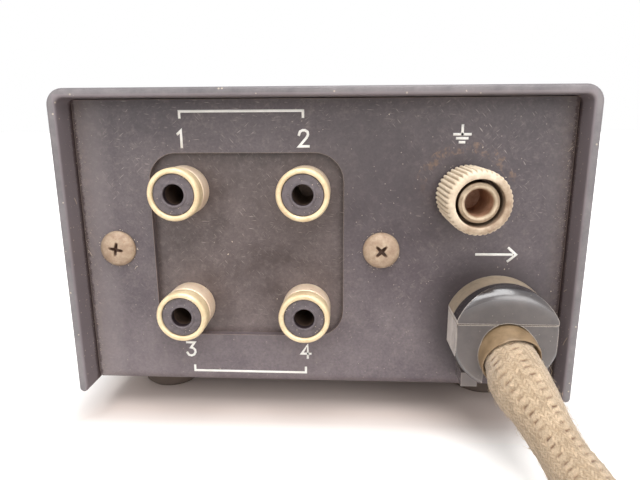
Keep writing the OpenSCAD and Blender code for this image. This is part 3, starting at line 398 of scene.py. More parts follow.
def jacket_radius(s, angle):
    """Outer radius of the lead at these distances along it and angles around it."""
    at, share = np.array(jacket).T
    swell_at, more = np.array(swell).T
    one_side = np.clip(np.cos(angle), 0, 1) ** 1.5
    return lead_d / 2 * np.interp(s, at * mm, share) + one_side * np.interp(s, swell_at * mm, more * mm)


fine_end = len(smooth_line(lead_route[:near_points]))
near_line, far_line = lead_line[:fine_end], lead_line[fine_end - 1:]
near = braid(near_line, jacket_radius, lead_columns, thread_pitch, stitch_rows, 5, thread_pitch / 5)
far = braid(far_line, jacket_radius, lead_columns, thread_pitch, stitch_rows, 3, thread_pitch / 2,
            start=length_of(near_line), first=near[3])
lead = piece("braided_lead", *joined([near[:2], far[:2]]),
             stands_for=("output_cord", "cord_coil", "cord_tail"), slot="braid")
thread_attribute(lead, np.vstack([near[2], far[2]]))
print("braided lead:", len(lead.data.vertices), "points")

# %% [markdown]
# ### Loose fibres
# Old cotton is fuzzy: single fibres stand off the jacket. Hair particles would do it, but a mesh is kept by
# every export, so each fibre is a thin three-sided tube with a bend in it. They stand on the first stretch of
# the lead only, because nothing of that size can be seen farther off.

# %% Loose fibres
fuzz_chance = np.random.default_rng(33)
fuzz_count, fuzz_start, fuzz_end = 1300, 9 * mm, 58 * mm
fuzz_r, fuzz_root = 0.02 * mm, 0.06 * mm
fuzz_lowest = (-1, -1, 0.05 * mm)  # keeps the fibres above the table


def fibre(line, radius):
    """Points and faces of a thin three-sided tube, closed at both ends."""
    line = np.asarray(line, float)
    way, side, rise = frames_along(line)
    a = np.array([0, 2, 4]) * np.pi / 3
    ring = np.cos(a)[:, None] * side[:, None] + np.sin(a)[:, None] * rise[:, None]
    last = 3 * (len(line) - 1)
    faces = [*grid_faces(len(line), 3).tolist(), [2, 1, 0], [last, last + 1, last + 2]]
    return (line[:, None] + radius * ring).reshape(-1, 3), faces


fuzz_line, fuzz_s = even_line(near_line, 0.2 * mm)
fuzz_frames = frames_along(fuzz_line)
hairs = []
for _ in range(fuzz_count):
    i = np.searchsorted(fuzz_s, fuzz_chance.uniform(fuzz_start, fuzz_end))
    way, side, rise = (axis[i] for axis in fuzz_frames)
    a = fuzz_chance.uniform(0, 2 * np.pi)
    out, turn = np.cos(a) * side + np.sin(a) * rise, np.cos(a) * rise - np.sin(a) * side
    lie = fuzz_chance.normal(0, 1) * way + fuzz_chance.normal(0, 0.8) * turn
    root = fuzz_line[i] + out * (jacket_radius(fuzz_s[i], a) - fuzz_root)
    length = fuzz_chance.uniform(0.3, 1.1) * mm
    rise_by = fuzz_chance.uniform(0.1, 0.5)
    line = [root, root + length * (0.4 * lie + rise_by * out), root + length * (lie + 0.9 * rise_by * out)]
    hairs.append(fibre(np.maximum(line, fuzz_lowest), fuzz_r))
fuzz = piece("cotton_fuzz", *joined(hairs), slot="braid")
print(len(hairs), "loose fibres")

# %% [markdown]
# ## Single leads
# Behind the splitter each channel has its own thin lead. They use the same braid with fewer columns and one
# row of stitches.

# %% Single leads
single_d = 3.6 * mm
single_columns, single_row = 16, (4.5,)
single_routes = {
    "left": [(57.6, 154, 5.4), (63, 154, 4.6), (68, 154.6, 3), (72.4, 157.4, 2), (74.8, 161.8, 2),
             (74.8, 166.6, 2), (72, 170.8, 2.2), (67, 173, 3.4), (61, 173.4, 4.8), (56, 173.4, 5)],
    "right": [(57.6, 148, 5.4), (64, 148, 4.6), (71, 148.6, 3), (78, 151.4, 2), (83.4, 156.6, 2),
              (86, 163.4, 2), (85.6, 171, 2), (82, 177.6, 2), (76, 182.4, 2.2), (69, 184.6, 3.2),
              (62, 185.2, 4.8), (56, 185.2, 5)]}
single_lines = {name: lead_origin + smooth_line(route) * mm for name, route in single_routes.items()}
single_leads = {}


def single_radius(s, angle):
    """Outer radius of a single lead, the same everywhere."""
    return np.full(np.broadcast(s, angle).shape, single_d / 2)


for name, line in single_lines.items():
    points, faces, threads, _ = braid(
        line, single_radius, single_columns, thread_pitch, single_row, 4, thread_pitch / 3)
    single_leads[name] = piece(f"single_{name}", points, faces, stands_for=(f"lead_{name}",), slot="braid")
    thread_attribute(single_leads[name], threads)
    print("single lead", name, round(length_of(line), 3), "m")

# %% [markdown]
# ## Splitter
# The splitter is a moulded piece, round at the lead and flatter at the two single leads. It is a loft of
# rounded sections, because a turned form would be round all along.

# %% Splitter
splitter_start = lead_origin + np.array(tail_route[-1]) * mm
splitter_sides, rounded = 64, 2 / 2.6
sections = [
    (0, 3.9, 3.9), (0.5, 4.5, 4.5), (1.5, 4.8, 4.8), (8, 4.9, 4.9), (15, 5.4, 5.2), (21, 6.0, 4.8),
    (24.6, 5.9, 4.3), (25.6, 5.6, 4.0), (26, 5.0, 3.5)]  # distance, half width, half height
angle = np.linspace(0, 2 * np.pi, splitter_sides, endpoint=False)
across, upward = (np.sign(f(angle)) * np.abs(f(angle)) ** rounded for f in (np.cos, np.sin))
rows = [np.stack([np.full(splitter_sides, x), w * across, h * upward], -1) for x, w, h in sections]
rows = [rows[0] * (1, 0, 0)] + rows + [rows[-1] * (1, 0, 0)]
splitter = close_up(piece(
    "splitter", splitter_start + np.array(rows) * mm, grid_faces(len(rows), splitter_sides),
    stands_for=("cord_splitter",), slot="moulded_black"))
print("splitter of", len(sections), "sections")

# %% [markdown]
# ## Plugs
# Each single lead ends in a phono plug: a ribbed black handle and a plated ring, both turned. The pin is a
# plain rod, so the CAD pin stays as it is.

# %% Plugs
rib_count, rib_pitch, rib_growth = 6, 1.5, 0.16
plug_profile = [(0, 0), (2.6, 0), (3.4, 0.4)]
for i in range(rib_count):
    for r, d in ((3.5, 0.8), (3.5, 1.7), (3.1, 1.8), (3.1, 2.2)):
        plug_profile.append((r + rib_growth * i, d + rib_pitch * i))
plug_profile += [(4.75, 10.4), (4.8, 22.6), (4.6, 24), (0, 24)]
ring_profile = [(3.6, 23.9), (4.6, 23.9), (4.6, 31.7), (4.35, 32), (4.2, 31.8), (4.2, 24.1), (3.6, 24.1),
                (3.6, 23.9)]
plugs = {}
for name, line in single_lines.items():
    handle = turned(f"plug_handle_{name}", soften(plug_profile, 0.25, 3), line[-1], (-1, 0, 0), 64,
                    stands_for=(f"plug_{name}",), slot="moulded_black")
    ring = turned(f"plug_ring_{name}", soften(ring_profile, 0.1, 2), line[-1], (-1, 0, 0), 64, slot="steel")
    plugs[name] = [handle, ring, nodes[f"plug_pin_{name}"]]
print(len(plugs), "plugs with", rib_count, "ribs each")

# %% [markdown]
# A lead is a fixed length of something flexible.

print("one braided lead and two single leads")

# %% [markdown]
# ## Phono sockets
# A socket is a turned brass shell with dull plating: a front collar, a narrow groove and a plain rear part.
# A dark insulator fills it, with a small lip around the hole for the plug's pin. A profile turned around the
# axis gives both, and its softened corners catch the light as turned metal does.

# %% Phono sockets
plate_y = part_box("jack_plate")[1].y
shell_profile = [
    (2.3, -5.4), (3.1, -5.4), (3.1, 0), (4.08, 0), (4.08, 3.4), (3.8, 3.5), (3.8, 3.85), (4.15, 3.95),
    (4.15, 5.95), (3.9, 6.28), (3.5, 6.3), (3.3, 6.1), (3.3, 1.2), (2.3, 1.2), (2.3, -5.4)]
insulator_profile = [
    (1.95, -6.4), (2.3, -6.4), (2.3, 1.2), (3.3, 1.2), (3.3, 5.82), (3.15, 5.95), (2.15, 5.97), (2.02, 6.12),
    (1.75, 6.14), (1.65, 6.0), (1.65, 4.8), (1.95, 4.8), (1.95, -6.4)]


def middle(node):
    """Middle of a CAD node's box in X and Z."""
    low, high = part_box(node)
    return (low.x + high.x) / 2, (low.z + high.z) / 2


sockets = range(1, 5)
shells, insulators = [], []
for i in sockets:
    x, z = middle(f"jack_shell_{i}")
    shells.append(turned(f"socket_shell_{i}", soften(shell_profile, 0.12, 3), (x, plate_y, z),
                         stands_for=(f"jack_shell_{i}",), slot="socket_metal"))
    insulators.append(turned(f"socket_insulator_{i}", soften(insulator_profile, 0.06, 3), (x, plate_y, z),
                             stands_for=(f"jack_insulator_{i}",), slot="insulator"))
print(len(shells), "sockets at", [[round(c / mm, 1) for c in middle(f"jack_shell_{i}")] for i in sockets])

# %% [markdown]
# ## Plate screws
# Two old screws with low round heads hold the plate. The cross recess is deepest in the middle and its arms
# grow narrow and shallow outwards. A turned head whose height drops by the recess at each angle gives that
# without cutting, if its rings are close together. Depth is kept with each point, because dirt sits there.

# %% Plate screws
head_r, head_h, shank_r, shank_end = 3.0, 1.3, 1.45, -6.6
arm, arm_half, arm_taper, arm_wall, arm_deep = 1.3, 0.36, 0.12, 0.15, 0.8
radii = [*np.linspace(0, 1.5, 36), *np.linspace(1.6, 2.8, 10), 2.9, 2.96, 3.0]
head_profile = [(r, head_h * (1 - (r / head_r) ** 3) ** 0.5) for r in radii]
head_profile += [(shank_r, 0), (shank_r, shank_end), (0, shank_end)]
screw_low, screw_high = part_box("jack_plate_screws")
screw_z = middle("jack_plate_screws")[1]
screw_turns = {screw_low.x + head_r * mm: 45, screw_high.x - head_r * mm: 11}  # place in X, degrees


def recess(angle, r, turn):
    """Depth of the cross recess in millimetres."""
    deep = np.zeros_like(r)
    for way in (turn, turn + np.pi / 2):
        along, across = np.abs(r * np.cos(angle - way)), np.abs(r * np.sin(angle - way))
        wall = np.clip((arm_half - arm_taper * along / arm - across) / arm_wall, 0, 1)
        deep = np.maximum(deep, wall * arm_deep * np.clip(1 - (along / arm) ** 2, 0, 1))
    return deep


def screw_mesh(x, turn):
    """Points and faces of one screw, and the recess's depth at each point."""
    hollows = []

    def sunk(angle, r, d):
        hollows.append(recess(angle, r, turn) * (d > 0.5))
        return r, d - hollows[-1]

    return lathe(head_profile, (x, panel_y, screw_z), around=144, shape=sunk), np.concatenate(hollows)


meshes, hollows = zip(*[screw_mesh(x, math.radians(turn)) for x, turn in screw_turns.items()])
screws = piece("plate_screws", *joined(meshes), stands_for=("jack_plate_screws",), slot="old_screw")
dirt = screws.data.attributes.new("hollow", "FLOAT", "POINT")
dirt.data.foreach_set("value", np.concatenate(hollows).astype(np.float32))
close_up(screws)
print("plate screws at x =", [round(x / mm, 1) for x in screw_turns])

# %% [markdown]
# ## Ground post
# The cap is moulded: about forty flutes, a rounded front edge in which they fade, and a wide mouth. The
# stud ends inside that mouth, with its own edge turned off and a hole for a test plug. The cap rides its own
# body.

# %% Ground post
x, z = middle("ground_cap")
post_at = (x, panel_y, z)
flutes, points_per_flute = 40, 10
cap_profile = [
    (3.7, 0.3), (4.55, 0.3), (4.8, 0.6), (4.8, 2), (4.8, 4), (4.8, 6), (4.79, 8), (4.76, 8.6), (4.7, 8.95),
    (4.56, 9.25), (4.34, 9.46), (4.1, 9.56), (3.85, 9.6), (3.62, 9.58), (3.48, 9.45), (3.45, 9.2),
    (3.45, 6.2), (3.03, 6.2), (3.03, 2.6), (3.7, 2.6), (3.7, 0.3)]
stud_profile = [
    (0, 1.0), (1.98, 1.0), (2.0, 1.1), (2.0, 8.6), (2.2, 8.95), (2.5, 9.0), (2.62, 8.85), (2.9, 8.7),
    (2.95, 8.5), (2.95, 0.8), (3.5, 0.8), (3.5, 0), (2.4, 0), (2.4, -6.7), (0, -6.7)]


def fluted(angle, r, d):
    """Narrow valleys along the cap's outside, shallow in its front rounding."""
    valley = (0.5 + 0.5 * np.cos(flutes * angle)) ** 2.2
    share = np.clip((r - 4.0) / 0.35, 0, 1) * np.clip((d - 0.2) / 0.4, 0, 1)
    depth = np.interp(d, [8.6, 9.2], [0.28, 0.06])
    return r - depth * valley * share, d


cap = turned("fluted_cap", soften(cap_profile, 0.12, 3), post_at, around=flutes * points_per_flute,
             shape=fluted, body="ground_cap", stands_for=("ground_cap",), slot="cap_plastic")
stud = turned("post_stud", soften(stud_profile, 0.08, 3), post_at, stands_for=("ground_stud",),
              slot="socket_metal")
print("post at", [round(c / mm, 1) for c in post_at], "with", flutes, "flutes")

# %% [markdown]
# ## Sleeve
# A thin tan sleeve leaves the strain relief with the lead. Its mouth is a funnel with a slightly torn edge.
# It points along the lead, so its axis is the route's own direction there.

# %% Sleeve
route = np.array(lead_route)
sleeve_way = route[2] - route[1]
sleeve_at = lead_origin + (route[1] - 0.3 * sleeve_way) * mm
tear_count, torn_from = 40, 4.9
tears = np.random.default_rng(7).normal(0, 1, tear_count)
sleeve_profile = [
    (3.9, 0), (4.65, 0), (4.65, 3.4), (4.64, 4.7), (4.6, 5.25), (4.5, 5.4), (4.38, 5.3), (4.16, 4.6),
    (3.9, 3.9), (3.9, 0)]


def torn(angle, r, d):
    """Uneven front edge."""
    wave = np.interp(angle, np.linspace(0, 2 * np.pi, tear_count, endpoint=False), tears, period=2 * np.pi)
    return r + 0.04 * wave * (d > torn_from), d + 0.1 * wave * (d > torn_from)


sleeve = turned("torn_sleeve", soften(sleeve_profile, 0.1, 2), sleeve_at, tuple(sleeve_way), 160, torn,
                stands_for=("cord_sleeve",), slot="sleeve")
print("sleeve starts at", np.round(sleeve_at / mm, 1), "mm")

# %% [markdown]
# ## Raised strokes
# Printed marks are strokes of paint. Text objects would need a font, and paint has a thickness, so each
# stroke is a thin raised ribbon along a few points, mitred at its bends.


# %% Strokes
def ribbon(line, width=0.42, rise=0.03, sink=0.02):
    """Points (sideways, up, out) and faces of a raised stroke along 2-D points in millimetres."""
    p = np.array(line, float)
    t = np.diff(p, axis=0)
    t /= np.linalg.norm(t, axis=1)[:, None]
    p[0] -= t[0] * width / 2
    p[-1] += t[-1] * width / 2
    t = np.vstack([t[:1], t, t[-1:]])
    n = np.stack([-t[:, 1], t[:, 0]], -1)
    mitre = n[:-1] + n[1:]
    mitre = mitre / np.maximum((mitre * n[:-1]).sum(1), 0.35)[:, None]
    corners = [(-0.5, -sink), (-0.44, rise), (0.44, rise), (0.5, -sink)]
    rows = [[(*(q + w * width * m), h) for w, h in corners] for q, m in zip(p, mitre)]
    last = 4 * (len(rows) - 1)
    ends = [[0, 1, 2, 3], [last + 3, last + 2, last + 1, last]]
    return np.array(rows).reshape(-1, 3), grid_faces(len(rows), 4).tolist() + ends


def moved(strokes, x, z, centre=0.75):
    """Strokes shifted so that they start centre left of x."""
    return [[(u - centre + x, v + z) for u, v in line] for line in strokes]


def printed(name, strokes, origin, sideways, out):
    """Strokes as one piece on a panel; sideways and out are unit directions."""
    points, faces = joined([ribbon(line) for line in strokes])
    points = np.array(origin) + points @ np.array([sideways, (0, 0, 1), out], float) * mm
    return close_up(piece(name, points, faces, slot="white_inlay", smooth=False))


print("strokes ready")

# %% [markdown]
# ## Marks on the panels
# The rear has a number at each socket, a line for each row of sockets, the earth sign at the ground post and
# an arrow at the output. The front has three ticks with numbers around the knob.

# %% Marks
digits = {
    1: [[(0.35, 2.05), (0.85, 2.5), (0.85, 0)]],
    2: [[(0.05, 1.85), (0.2, 2.3), (0.6, 2.5), (1.0, 2.5), (1.4, 2.25), (1.45, 1.8), (1.25, 1.4),
         (0.05, 0.02), (1.5, 0.02)]],
    3: [[(0.1, 2.48), (1.4, 2.48), (0.72, 1.5), (1.1, 1.42), (1.42, 1.1), (1.45, 0.65), (1.2, 0.2),
         (0.75, 0), (0.3, 0.1), (0.05, 0.5)]],
    4: [[(1.1, 0), (1.1, 2.4), (0.05, 0.75), (1.55, 0.75)]]}
earth_sign = [[(0, 2.6), (0, 1.3)], [(-1.2, 1.3), (1.2, 1.3)], [(-0.75, 0.7), (0.75, 0.7)],
              [(-0.3, 0.1), (0.3, 0.1)]]
arrow_sign = [[(-3.2, 1.25), (2.4, 1.25)], [(1.9, 2.3), (3.1, 1.25), (1.9, 0.2)]]
case_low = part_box("chassis")[0].z
rear_strokes = []
for i, (x, z) in enumerate([(22.1, 41.1), (2.45, 41.1), (22.6, 5.0), (2.5, 5.0)], 1):
    rear_strokes += moved(digits[i], -x, z)
for z, tick in ((46.6, -0.9), (2.2, 0.9)):
    rear_strokes.append([(-22.1, z + tick), (-22.1, z), (-2.5, z), (-2.5, z + tick)])
rear_strokes += moved(earth_sign, 22.2, 41.6, 0) + moved(arrow_sign, 28.75, 22.5, 0)
rear_marks = printed("rear_marks", rear_strokes, (0, panel_y, case_low), (-1, 0, 0), (0, 1, 0))

fascia_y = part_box("front_fascia")[0].y
knob_x, knob_z = middle("selector_knob")
tick_from, tick_to, digit_r, digit_drop = 14.2, 15.6, 18.2, 1.25
front_strokes = []
for i, turn in ((1, -30), (2, 0), (3, 30)):
    s, c = math.sin(math.radians(turn)), math.cos(math.radians(turn))
    front_strokes.append([(tick_from * s, tick_from * c), (tick_to * s, tick_to * c)])
    front_strokes += moved(digits[i], digit_r * s, digit_r * c - digit_drop)
front_marks = printed("front_marks", front_strokes, (knob_x, fascia_y, knob_z), (1, 0, 0), (0, -1, 0))
print(len(rear_strokes), "strokes on the rear,", len(front_strokes), "on the front")

# %% [markdown]
# ## Dust
# Dust and lint lie in the corners between panel and cover, and around the sockets. Each flake is a squashed
# eight-sided crumb and each lint a thin bent tube, scattered by a seeded generator so that every run is the
# same. Flakes stick to the panel and to the cover's inner sides.

# %% Flakes in the corners
chance = np.random.default_rng(21)
crumb_points = np.array([(1, 0, 0), (0, 1, 0), (-1, 0, 0), (0, -1, 0), (0, 0, 1), (0, 0, -1)], float)
crumb_faces = [(0, 1, 4), (1, 2, 4), (2, 3, 4), (3, 0, 4), (1, 0, 5), (2, 1, 5), (3, 2, 5), (0, 3, 5)]
inner_x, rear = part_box("chassis")[1].x / mm, panel_y / mm
dust_low, dust_high = 8, 53
panel_flakes, wall_flakes = 620, 420
flakes = []


def crumb(at, size, out=(0, 1, 0)):
    """Adds one flake, flat against the surface whose direction is out."""
    out, side, rise = square_axes(out)
    stretch = size * chance.uniform((0.5, 0.4, 0.25), (1.0, 0.8, 0.45))
    turn = chance.uniform(0, np.pi)
    c, s = np.cos(turn), np.sin(turn)
    axes = np.array([c * side + s * rise, c * rise - s * side, out])
    shake = crumb_points + chance.normal(0, 0.22, crumb_points.shape)
    flakes.append((np.array(at) * mm + (shake * stretch) @ axes * mm, crumb_faces))


def fine_size():
    """Size of a flake in a corner, in millimetres."""
    return abs(chance.normal(0.01, 0.035)) + 0.03


for _ in range(panel_flakes):
    side = chance.choice((-1, 1))
    x = side * (inner_x - 0.1 - abs(chance.normal(0, 0.7)))
    size = fine_size()
    crumb((x, rear + 0.02, chance.uniform(dust_low, dust_high)), size)
for _ in range(wall_flakes):
    side = chance.choice((-1, 1))
    y = rear + abs(chance.normal(0.5, 1.2))
    size = fine_size()
    crumb((side * (inner_x + 0.12), y, chance.uniform(dust_low, dust_high)), size, (-side, 0, 0))
print(len(flakes), "flakes in the corners")

# %% [markdown]
# ### Dust on the open panel
# A few larger flakes lie on the panel and on the plate in its window, but not under sockets, post or strain
# relief. More of them stick to the insulators' faces and around the two screws, and some lint hangs in the
# corners.

# %% Flakes on the panel
window = (-3.2, 27.0, 15.8, 45.4)
open_flakes, socket_flakes, screw_flakes = 45, 26, 16
taken = [(middle(f"jack_shell_{i}"), 4.4) for i in sockets]
taken += [((post_at[0], post_at[2]), 5.2), (middle("strain_relief_lower"), 9.5)]
enough = len(flakes) + open_flakes
while len(flakes) < enough:
    x, z = chance.uniform(-38, 38), chance.uniform(dust_low, dust_high)
    inside = window[0] < x < window[1] and window[2] < z < window[3]
    if any(math.hypot(x - at[0] / mm, z - at[1] / mm) < room for at, room in taken):
        continue
    y = plate_y / mm if inside else rear
    crumb((x, y + 0.01, z), abs(chance.normal(0.02, 0.05)) + 0.04)
face_y = plate_y / mm + 5.99
for x, z in (middle(f"jack_shell_{i}") for i in sockets):
    for _ in range(socket_flakes):
        a, r = chance.uniform(0, 2 * np.pi), chance.choice((2.2, 2.6, 2.9, 3.2))
        crumb((x / mm + r * np.cos(a), face_y, z / mm + r * np.sin(a)), chance.uniform(0.05, 0.13))
for x in screw_turns:
    for _ in range(screw_flakes):
        a = chance.uniform(0, 2 * np.pi)
        r = head_r + 0.1 + abs(chance.normal(0, 0.2))
        crumb((x / mm + r * np.cos(a), rear + 0.02, screw_z / mm + r * np.sin(a)), 0.13)

side_x, lint_y, lint_r, lint_bend = inner_x + 0.08, rear + 0.03, 0.05 * mm, 0.12
lint = [((-side_x, 66.9, 15.5), (-side_x, 68.1, 17.3)), ((-side_x, 65.2, 24.0), (-side_x, 66.2, 24.6)),
        ((-38.4, lint_y, 46.2), (-39.2, lint_y, 47.0)), ((38.6, lint_y, 29), (39.2, lint_y, 30)),
        ((30.9, lint_y, 27.2), (31.4, lint_y, 26.7)), ((side_x, 65.4, 38), (side_x, 66, 39.1))]
for start, end in np.array(lint):
    bend = (start + end) / 2 + (0, lint_bend if abs(start[0]) < inner_x else 0, lint_bend)
    flakes.append(fibre(np.array([start, bend, end]) * mm, lint_r))
dust = piece("dust", *joined(flakes), smooth=False)
print(len(flakes), "flakes and lint")

# %% [markdown]
# ## The cover
# The cover is one bent sheet. The CAD edge is sharp, and real sheet edges are rubbed round, so the sheet's
# outline is swept along the case with its edge drawn in over the last part of a millimetre at both rims.
# Rim points carry an edge value, and the paint is rubbed there.

# %% Cover
cover_low, cover_high = (np.array(c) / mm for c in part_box("cover"))
sheet, bend, edge_r = 1.4, 2.6, 0.4


def arc(x, z, r, start, end, steps=8):
    """Points of an arc in the X-Z plane, angles in degrees."""
    return [(x + r * math.cos(math.radians(a)), z + r * math.sin(math.radians(a)))
            for a in np.linspace(start, end, steps + 1)]


def cover_outline(inset):
    """Closed outline of the bent sheet, drawn in by inset on all sides."""
    half, top, low = cover_high[0], cover_high[2], cover_low[2]
    out, inn, tip = bend - inset, bend - sheet + inset, sheet / 2 - inset
    tip_z = low + sheet / 2
    return (
        arc(half - sheet / 2, tip_z, tip, -90, 0, 5) + arc(half - bend, top - bend, out, 0, 90)
        + arc(-half + bend, top - bend, out, 90, 180) + arc(-half + sheet / 2, tip_z, tip, 180, 360, 10)
        + arc(-half + bend, top - bend, inn, 180, 90) + arc(half - bend, top - bend, inn, 90, 0)
        + arc(half - sheet / 2, tip_z, tip, 180, 265, 5))


curl = np.linspace(0, math.pi / 2, 5)
rim = [(edge_r * (1 - math.cos(a)), edge_r * (1 - math.sin(a))) for a in curl]
stations = [(cover_low[1] + depth, inset) for depth, inset in rim]
stations += [(y, 0.0) for y in np.linspace(cover_low[1] + 2, cover_high[1] - 2, 9)]
stations += [(cover_high[1] - depth, inset) for depth, inset in reversed(rim)]
rows = [[(x, y, z) for x, z in cover_outline(inset)] for y, inset in stations]
around = len(rows[0])
faces = grid_faces(len(rows), around).tolist()
faces += [list(range(around))[::-1], list(range((len(rows) - 1) * around, len(rows) * around))]
cover = piece("worn_cover", np.array(rows) * mm, faces, stands_for=("cover",), slot="cover_paint")
edge = cover.data.attributes.new("edge", "FLOAT", "POINT")
rubbed = [min(1, inset / edge_r + 0.15 * (inset > 0)) for _, inset in stations]
edge.data.foreach_set("value", np.repeat(rubbed, around))
cover.data.set_sharp_from_angle(angle=math.radians(50))
print("cover:", len(rows), "rows of", around, "points")

# %% [markdown]
# ## Node tools
# A finish is a tree of shader nodes. Making and linking each node by hand would hide the idea, so a node's
# output is wrapped here: a sum or a product of two outputs adds the Math node by itself, and a finish reads
# like a formula.


# %% Node tools
def srgb(*colour):
    """A colour written as on screen, 0 to 255, as the linear colour that a shader takes."""
    shares = [c / 255 for c in colour]
    return (*[c / 12.92 if c <= 0.04045 else ((c + 0.055) / 1.055) ** 2.4 for c in shares], 1.0)


class Value:
    """What a node puts out. Arithmetic with it adds Math nodes."""

    def __init__(self, tree, socket):
        self.tree, self.socket = tree, socket

    def math(self, operation, b=0.0, c=0.0):
        return add(self.tree, "Math", {0: self, 1: b, 2: c}, operation=operation)[0]

    def __add__(self, other):
        return self.math("ADD", other)

    def __sub__(self, other):
        return self.math("SUBTRACT", other)

    def __mul__(self, other):
        return self.math("MULTIPLY", other)

    def __abs__(self):
        return self.math("ABSOLUTE")

    def most(self, other):
        """The larger of two."""
        return self.math("MAXIMUM", other)

    def to(self, low, high, to_low=0.0, to_high=1.0):
        """Moves the range from low to high to another range, and stops there."""
        return add(self.tree, "MapRange", {0: self, 1: low, 2: high, 3: to_low, 4: to_high})[0]


def put(tree, value, socket):
    """Links an output to a socket, or sets the socket to a plain value."""
    if isinstance(value, Value):
        tree.links.new(value.socket, socket)
    else:
        socket.default_value = value


def add(tree, kind, sockets=None, **settings):
    """Adds a shader node and returns its outputs by number and by name."""
    node = tree.nodes.new("ShaderNode" + kind)
    for key, value in settings.items():
        setattr(node, key, value)
    for key, value in (sockets or {}).items():
        put(tree, value, node.inputs[key])
    return {key: Value(tree, socket) for i, socket in enumerate(node.outputs) for key in (i, socket.name)}


print("node tools ready")

# %% [markdown]
# ## Finishes
# Each finish reads object coordinates in millimetres. The CAD nodes and the new pieces sit at the origin, so
# these are places on the object, and they stay on it when a body moves. Noise at several scales gives smudges
# and dust, because an old painted sheet is never one flat grey. Layers of dirt, wear, painted light and
# painted shade are laid over a first colour, one after the other.


# %% Finish tools
class Finish:
    """A node material in the making. Places and sizes are in millimetres on the object."""

    def __init__(self, name, colour, roughness, metallic=0.0, **sockets):
        self.material = bpy.data.materials.new(name)
        self.material.use_nodes = True
        self.tree = self.material.node_tree
        self.inputs = self.tree.nodes["Principled BSDF"].inputs
        self.colour = colour
        start = {"Base Color": srgb(*colour), "Roughness": roughness, "Metallic": metallic, **sockets}
        for key, value in start.items():
            self.set(key.replace("_", " "), value)
        self.place = self.vector("MULTIPLY", add(self.tree, "TexCoord")["Object"], (1 / mm,) * 3)
        self.x, self.y, self.z = self.split(self.place)

    def set(self, key, value):
        """Sets or links one of the shader's sockets."""
        put(self.tree, value, self.inputs[key])

    def vector(self, operation, a, b=(0, 0, 0)):
        """A Vector Math node's result: a number for distances and products, else a vector."""
        results = add(self.tree, "VectorMath", {0: a, 1: b}, operation=operation)
        return results["Value" if operation in ("DISTANCE", "LENGTH", "DOT_PRODUCT") else "Vector"]

    def split(self, vector):
        """X, Y and Z of a vector."""
        parts = add(self.tree, "SeparateXYZ", {0: vector})
        return parts[0], parts[1], parts[2]

    def noise(self, size, detail=4.0, rough=0.6, place=None):
        """Cloudy noise whose patches have about this size, from 0 to 1."""
        sockets = {"Vector": place or self.place, "Scale": 1 / size, "Detail": detail, "Roughness": rough}
        return add(self.tree, "TexNoise", sockets)[0]

    def mix(self, share, a, b):
        """A mix of two colours, each 0 to 255 or a node's output."""
        a, b = (c if isinstance(c, Value) else srgb(*c) for c in (a, b))
        return add(self.tree, "Mix", {0: share, 6: a, 7: b}, data_type="RGBA")[2]

    def paint(self, share, colour):
        """Lays a colour over the colour so far."""
        self.colour = self.mix(share, self.colour, colour)

    def two_tone(self, dark, light, patch, high=0.68, detail=5.0, rough=0.65):
        """Sets a colour that wanders between two in patches, and returns the patches."""
        patches = self.noise(patch, detail, rough).to(0.35, high)
        self.colour = self.mix(patches, dark, light)
        return patches

    def shade(self, value):
        """Multiplies the brightness of the colour so far."""
        self.colour = add(self.tree, "HueSaturation", {"Color": self.colour, "Value": value})[0]

    def bump(self, size, depth=None, strength=0.5, detail=2.0, rough=0.6):
        """Fine bumps of this size, a tenth as deep unless a depth is given."""
        height = self.noise(size, detail, rough)
        sockets = {"Height": height, "Distance": (depth or size / 10) * mm, "Strength": strength}
        self.set("Normal", add(self.tree, "Bump", sockets)[0])

    def wear(self, *objects):
        """Gives the material to objects."""
        if isinstance(self.colour, Value):
            self.set("Base Color", self.colour)
        for obj in objects:
            obj.data.materials.clear()
            obj.data.materials.append(self.material)


print("finish tools ready")

# %% [markdown]
# ## Where dirt, wear and painted light lie
# Dirt and painted shade sit at certain distances from the post or the panel, and paint is rubbed off at sharp
# edges, where painted highlights also lie. These helpers turn a place into a number. The Bevel node finds
# sharp edges, because its rounded normal differs from the true one only there.


# %% Places of dirt, wear and painted light
def attribute(f, name, output="Fac"):
    """A value that is kept with each point of the mesh."""
    return add(f.tree, "Attribute", attribute_name=name)[output]


def distance(f, at):
    """Distance from a place."""
    return f.vector("DISTANCE", f.place, at)


def off_axis(f, at):
    """Distance from an axis along Y through a place."""
    return f.vector("LENGTH", f.vector("MULTIPLY", f.vector("SUBTRACT", f.place, at), (1, 0, 1)))


def depth(f, start, end):
    """0 to 1 as Y goes from start to end, measured from the panel."""
    return f.y.to(rear + start, rear + end)


def flecks(f, size, share, shift=0):
    """Separate round flecks of about this size, on this share of the cells."""
    place = f.vector("ADD", f.place, (shift, shift * 1.7, shift * 0.6))
    cells = add(f.tree, "TexVoronoi", {"Vector": place, "Scale": 1 / size, "Randomness": 1.0})
    pick = add(f.tree, "SeparateColor", {0: cells["Color"]})[0]
    return cells["Distance"].to(0.22, 0.34, 1.0, 0.0) * pick.math("LESS_THAN", share)


def sharp_edges(f, radius):
    """1 along sharp edges."""
    rounded = add(f.tree, "Bevel", {"Radius": radius * mm}, samples=6)[0]
    return f.vector("DOT_PRODUCT", rounded, add(f.tree, "NewGeometry")["True Normal"]).to(0.985, 0.86)


post = tuple(c / mm for c in post_at)
print("dirt is measured from the post at", [round(c, 1) for c in post])

# %% [markdown]
# ## Table and white background
# The object stands on a white table against white. A world that the camera sees as white lights the scene
# only a little. The table gets some light of its own for the camera, which grows with the distance from the
# case, so it turns white farther off and the shadow under the case stays.

# %% World and table
world_light = 0.36


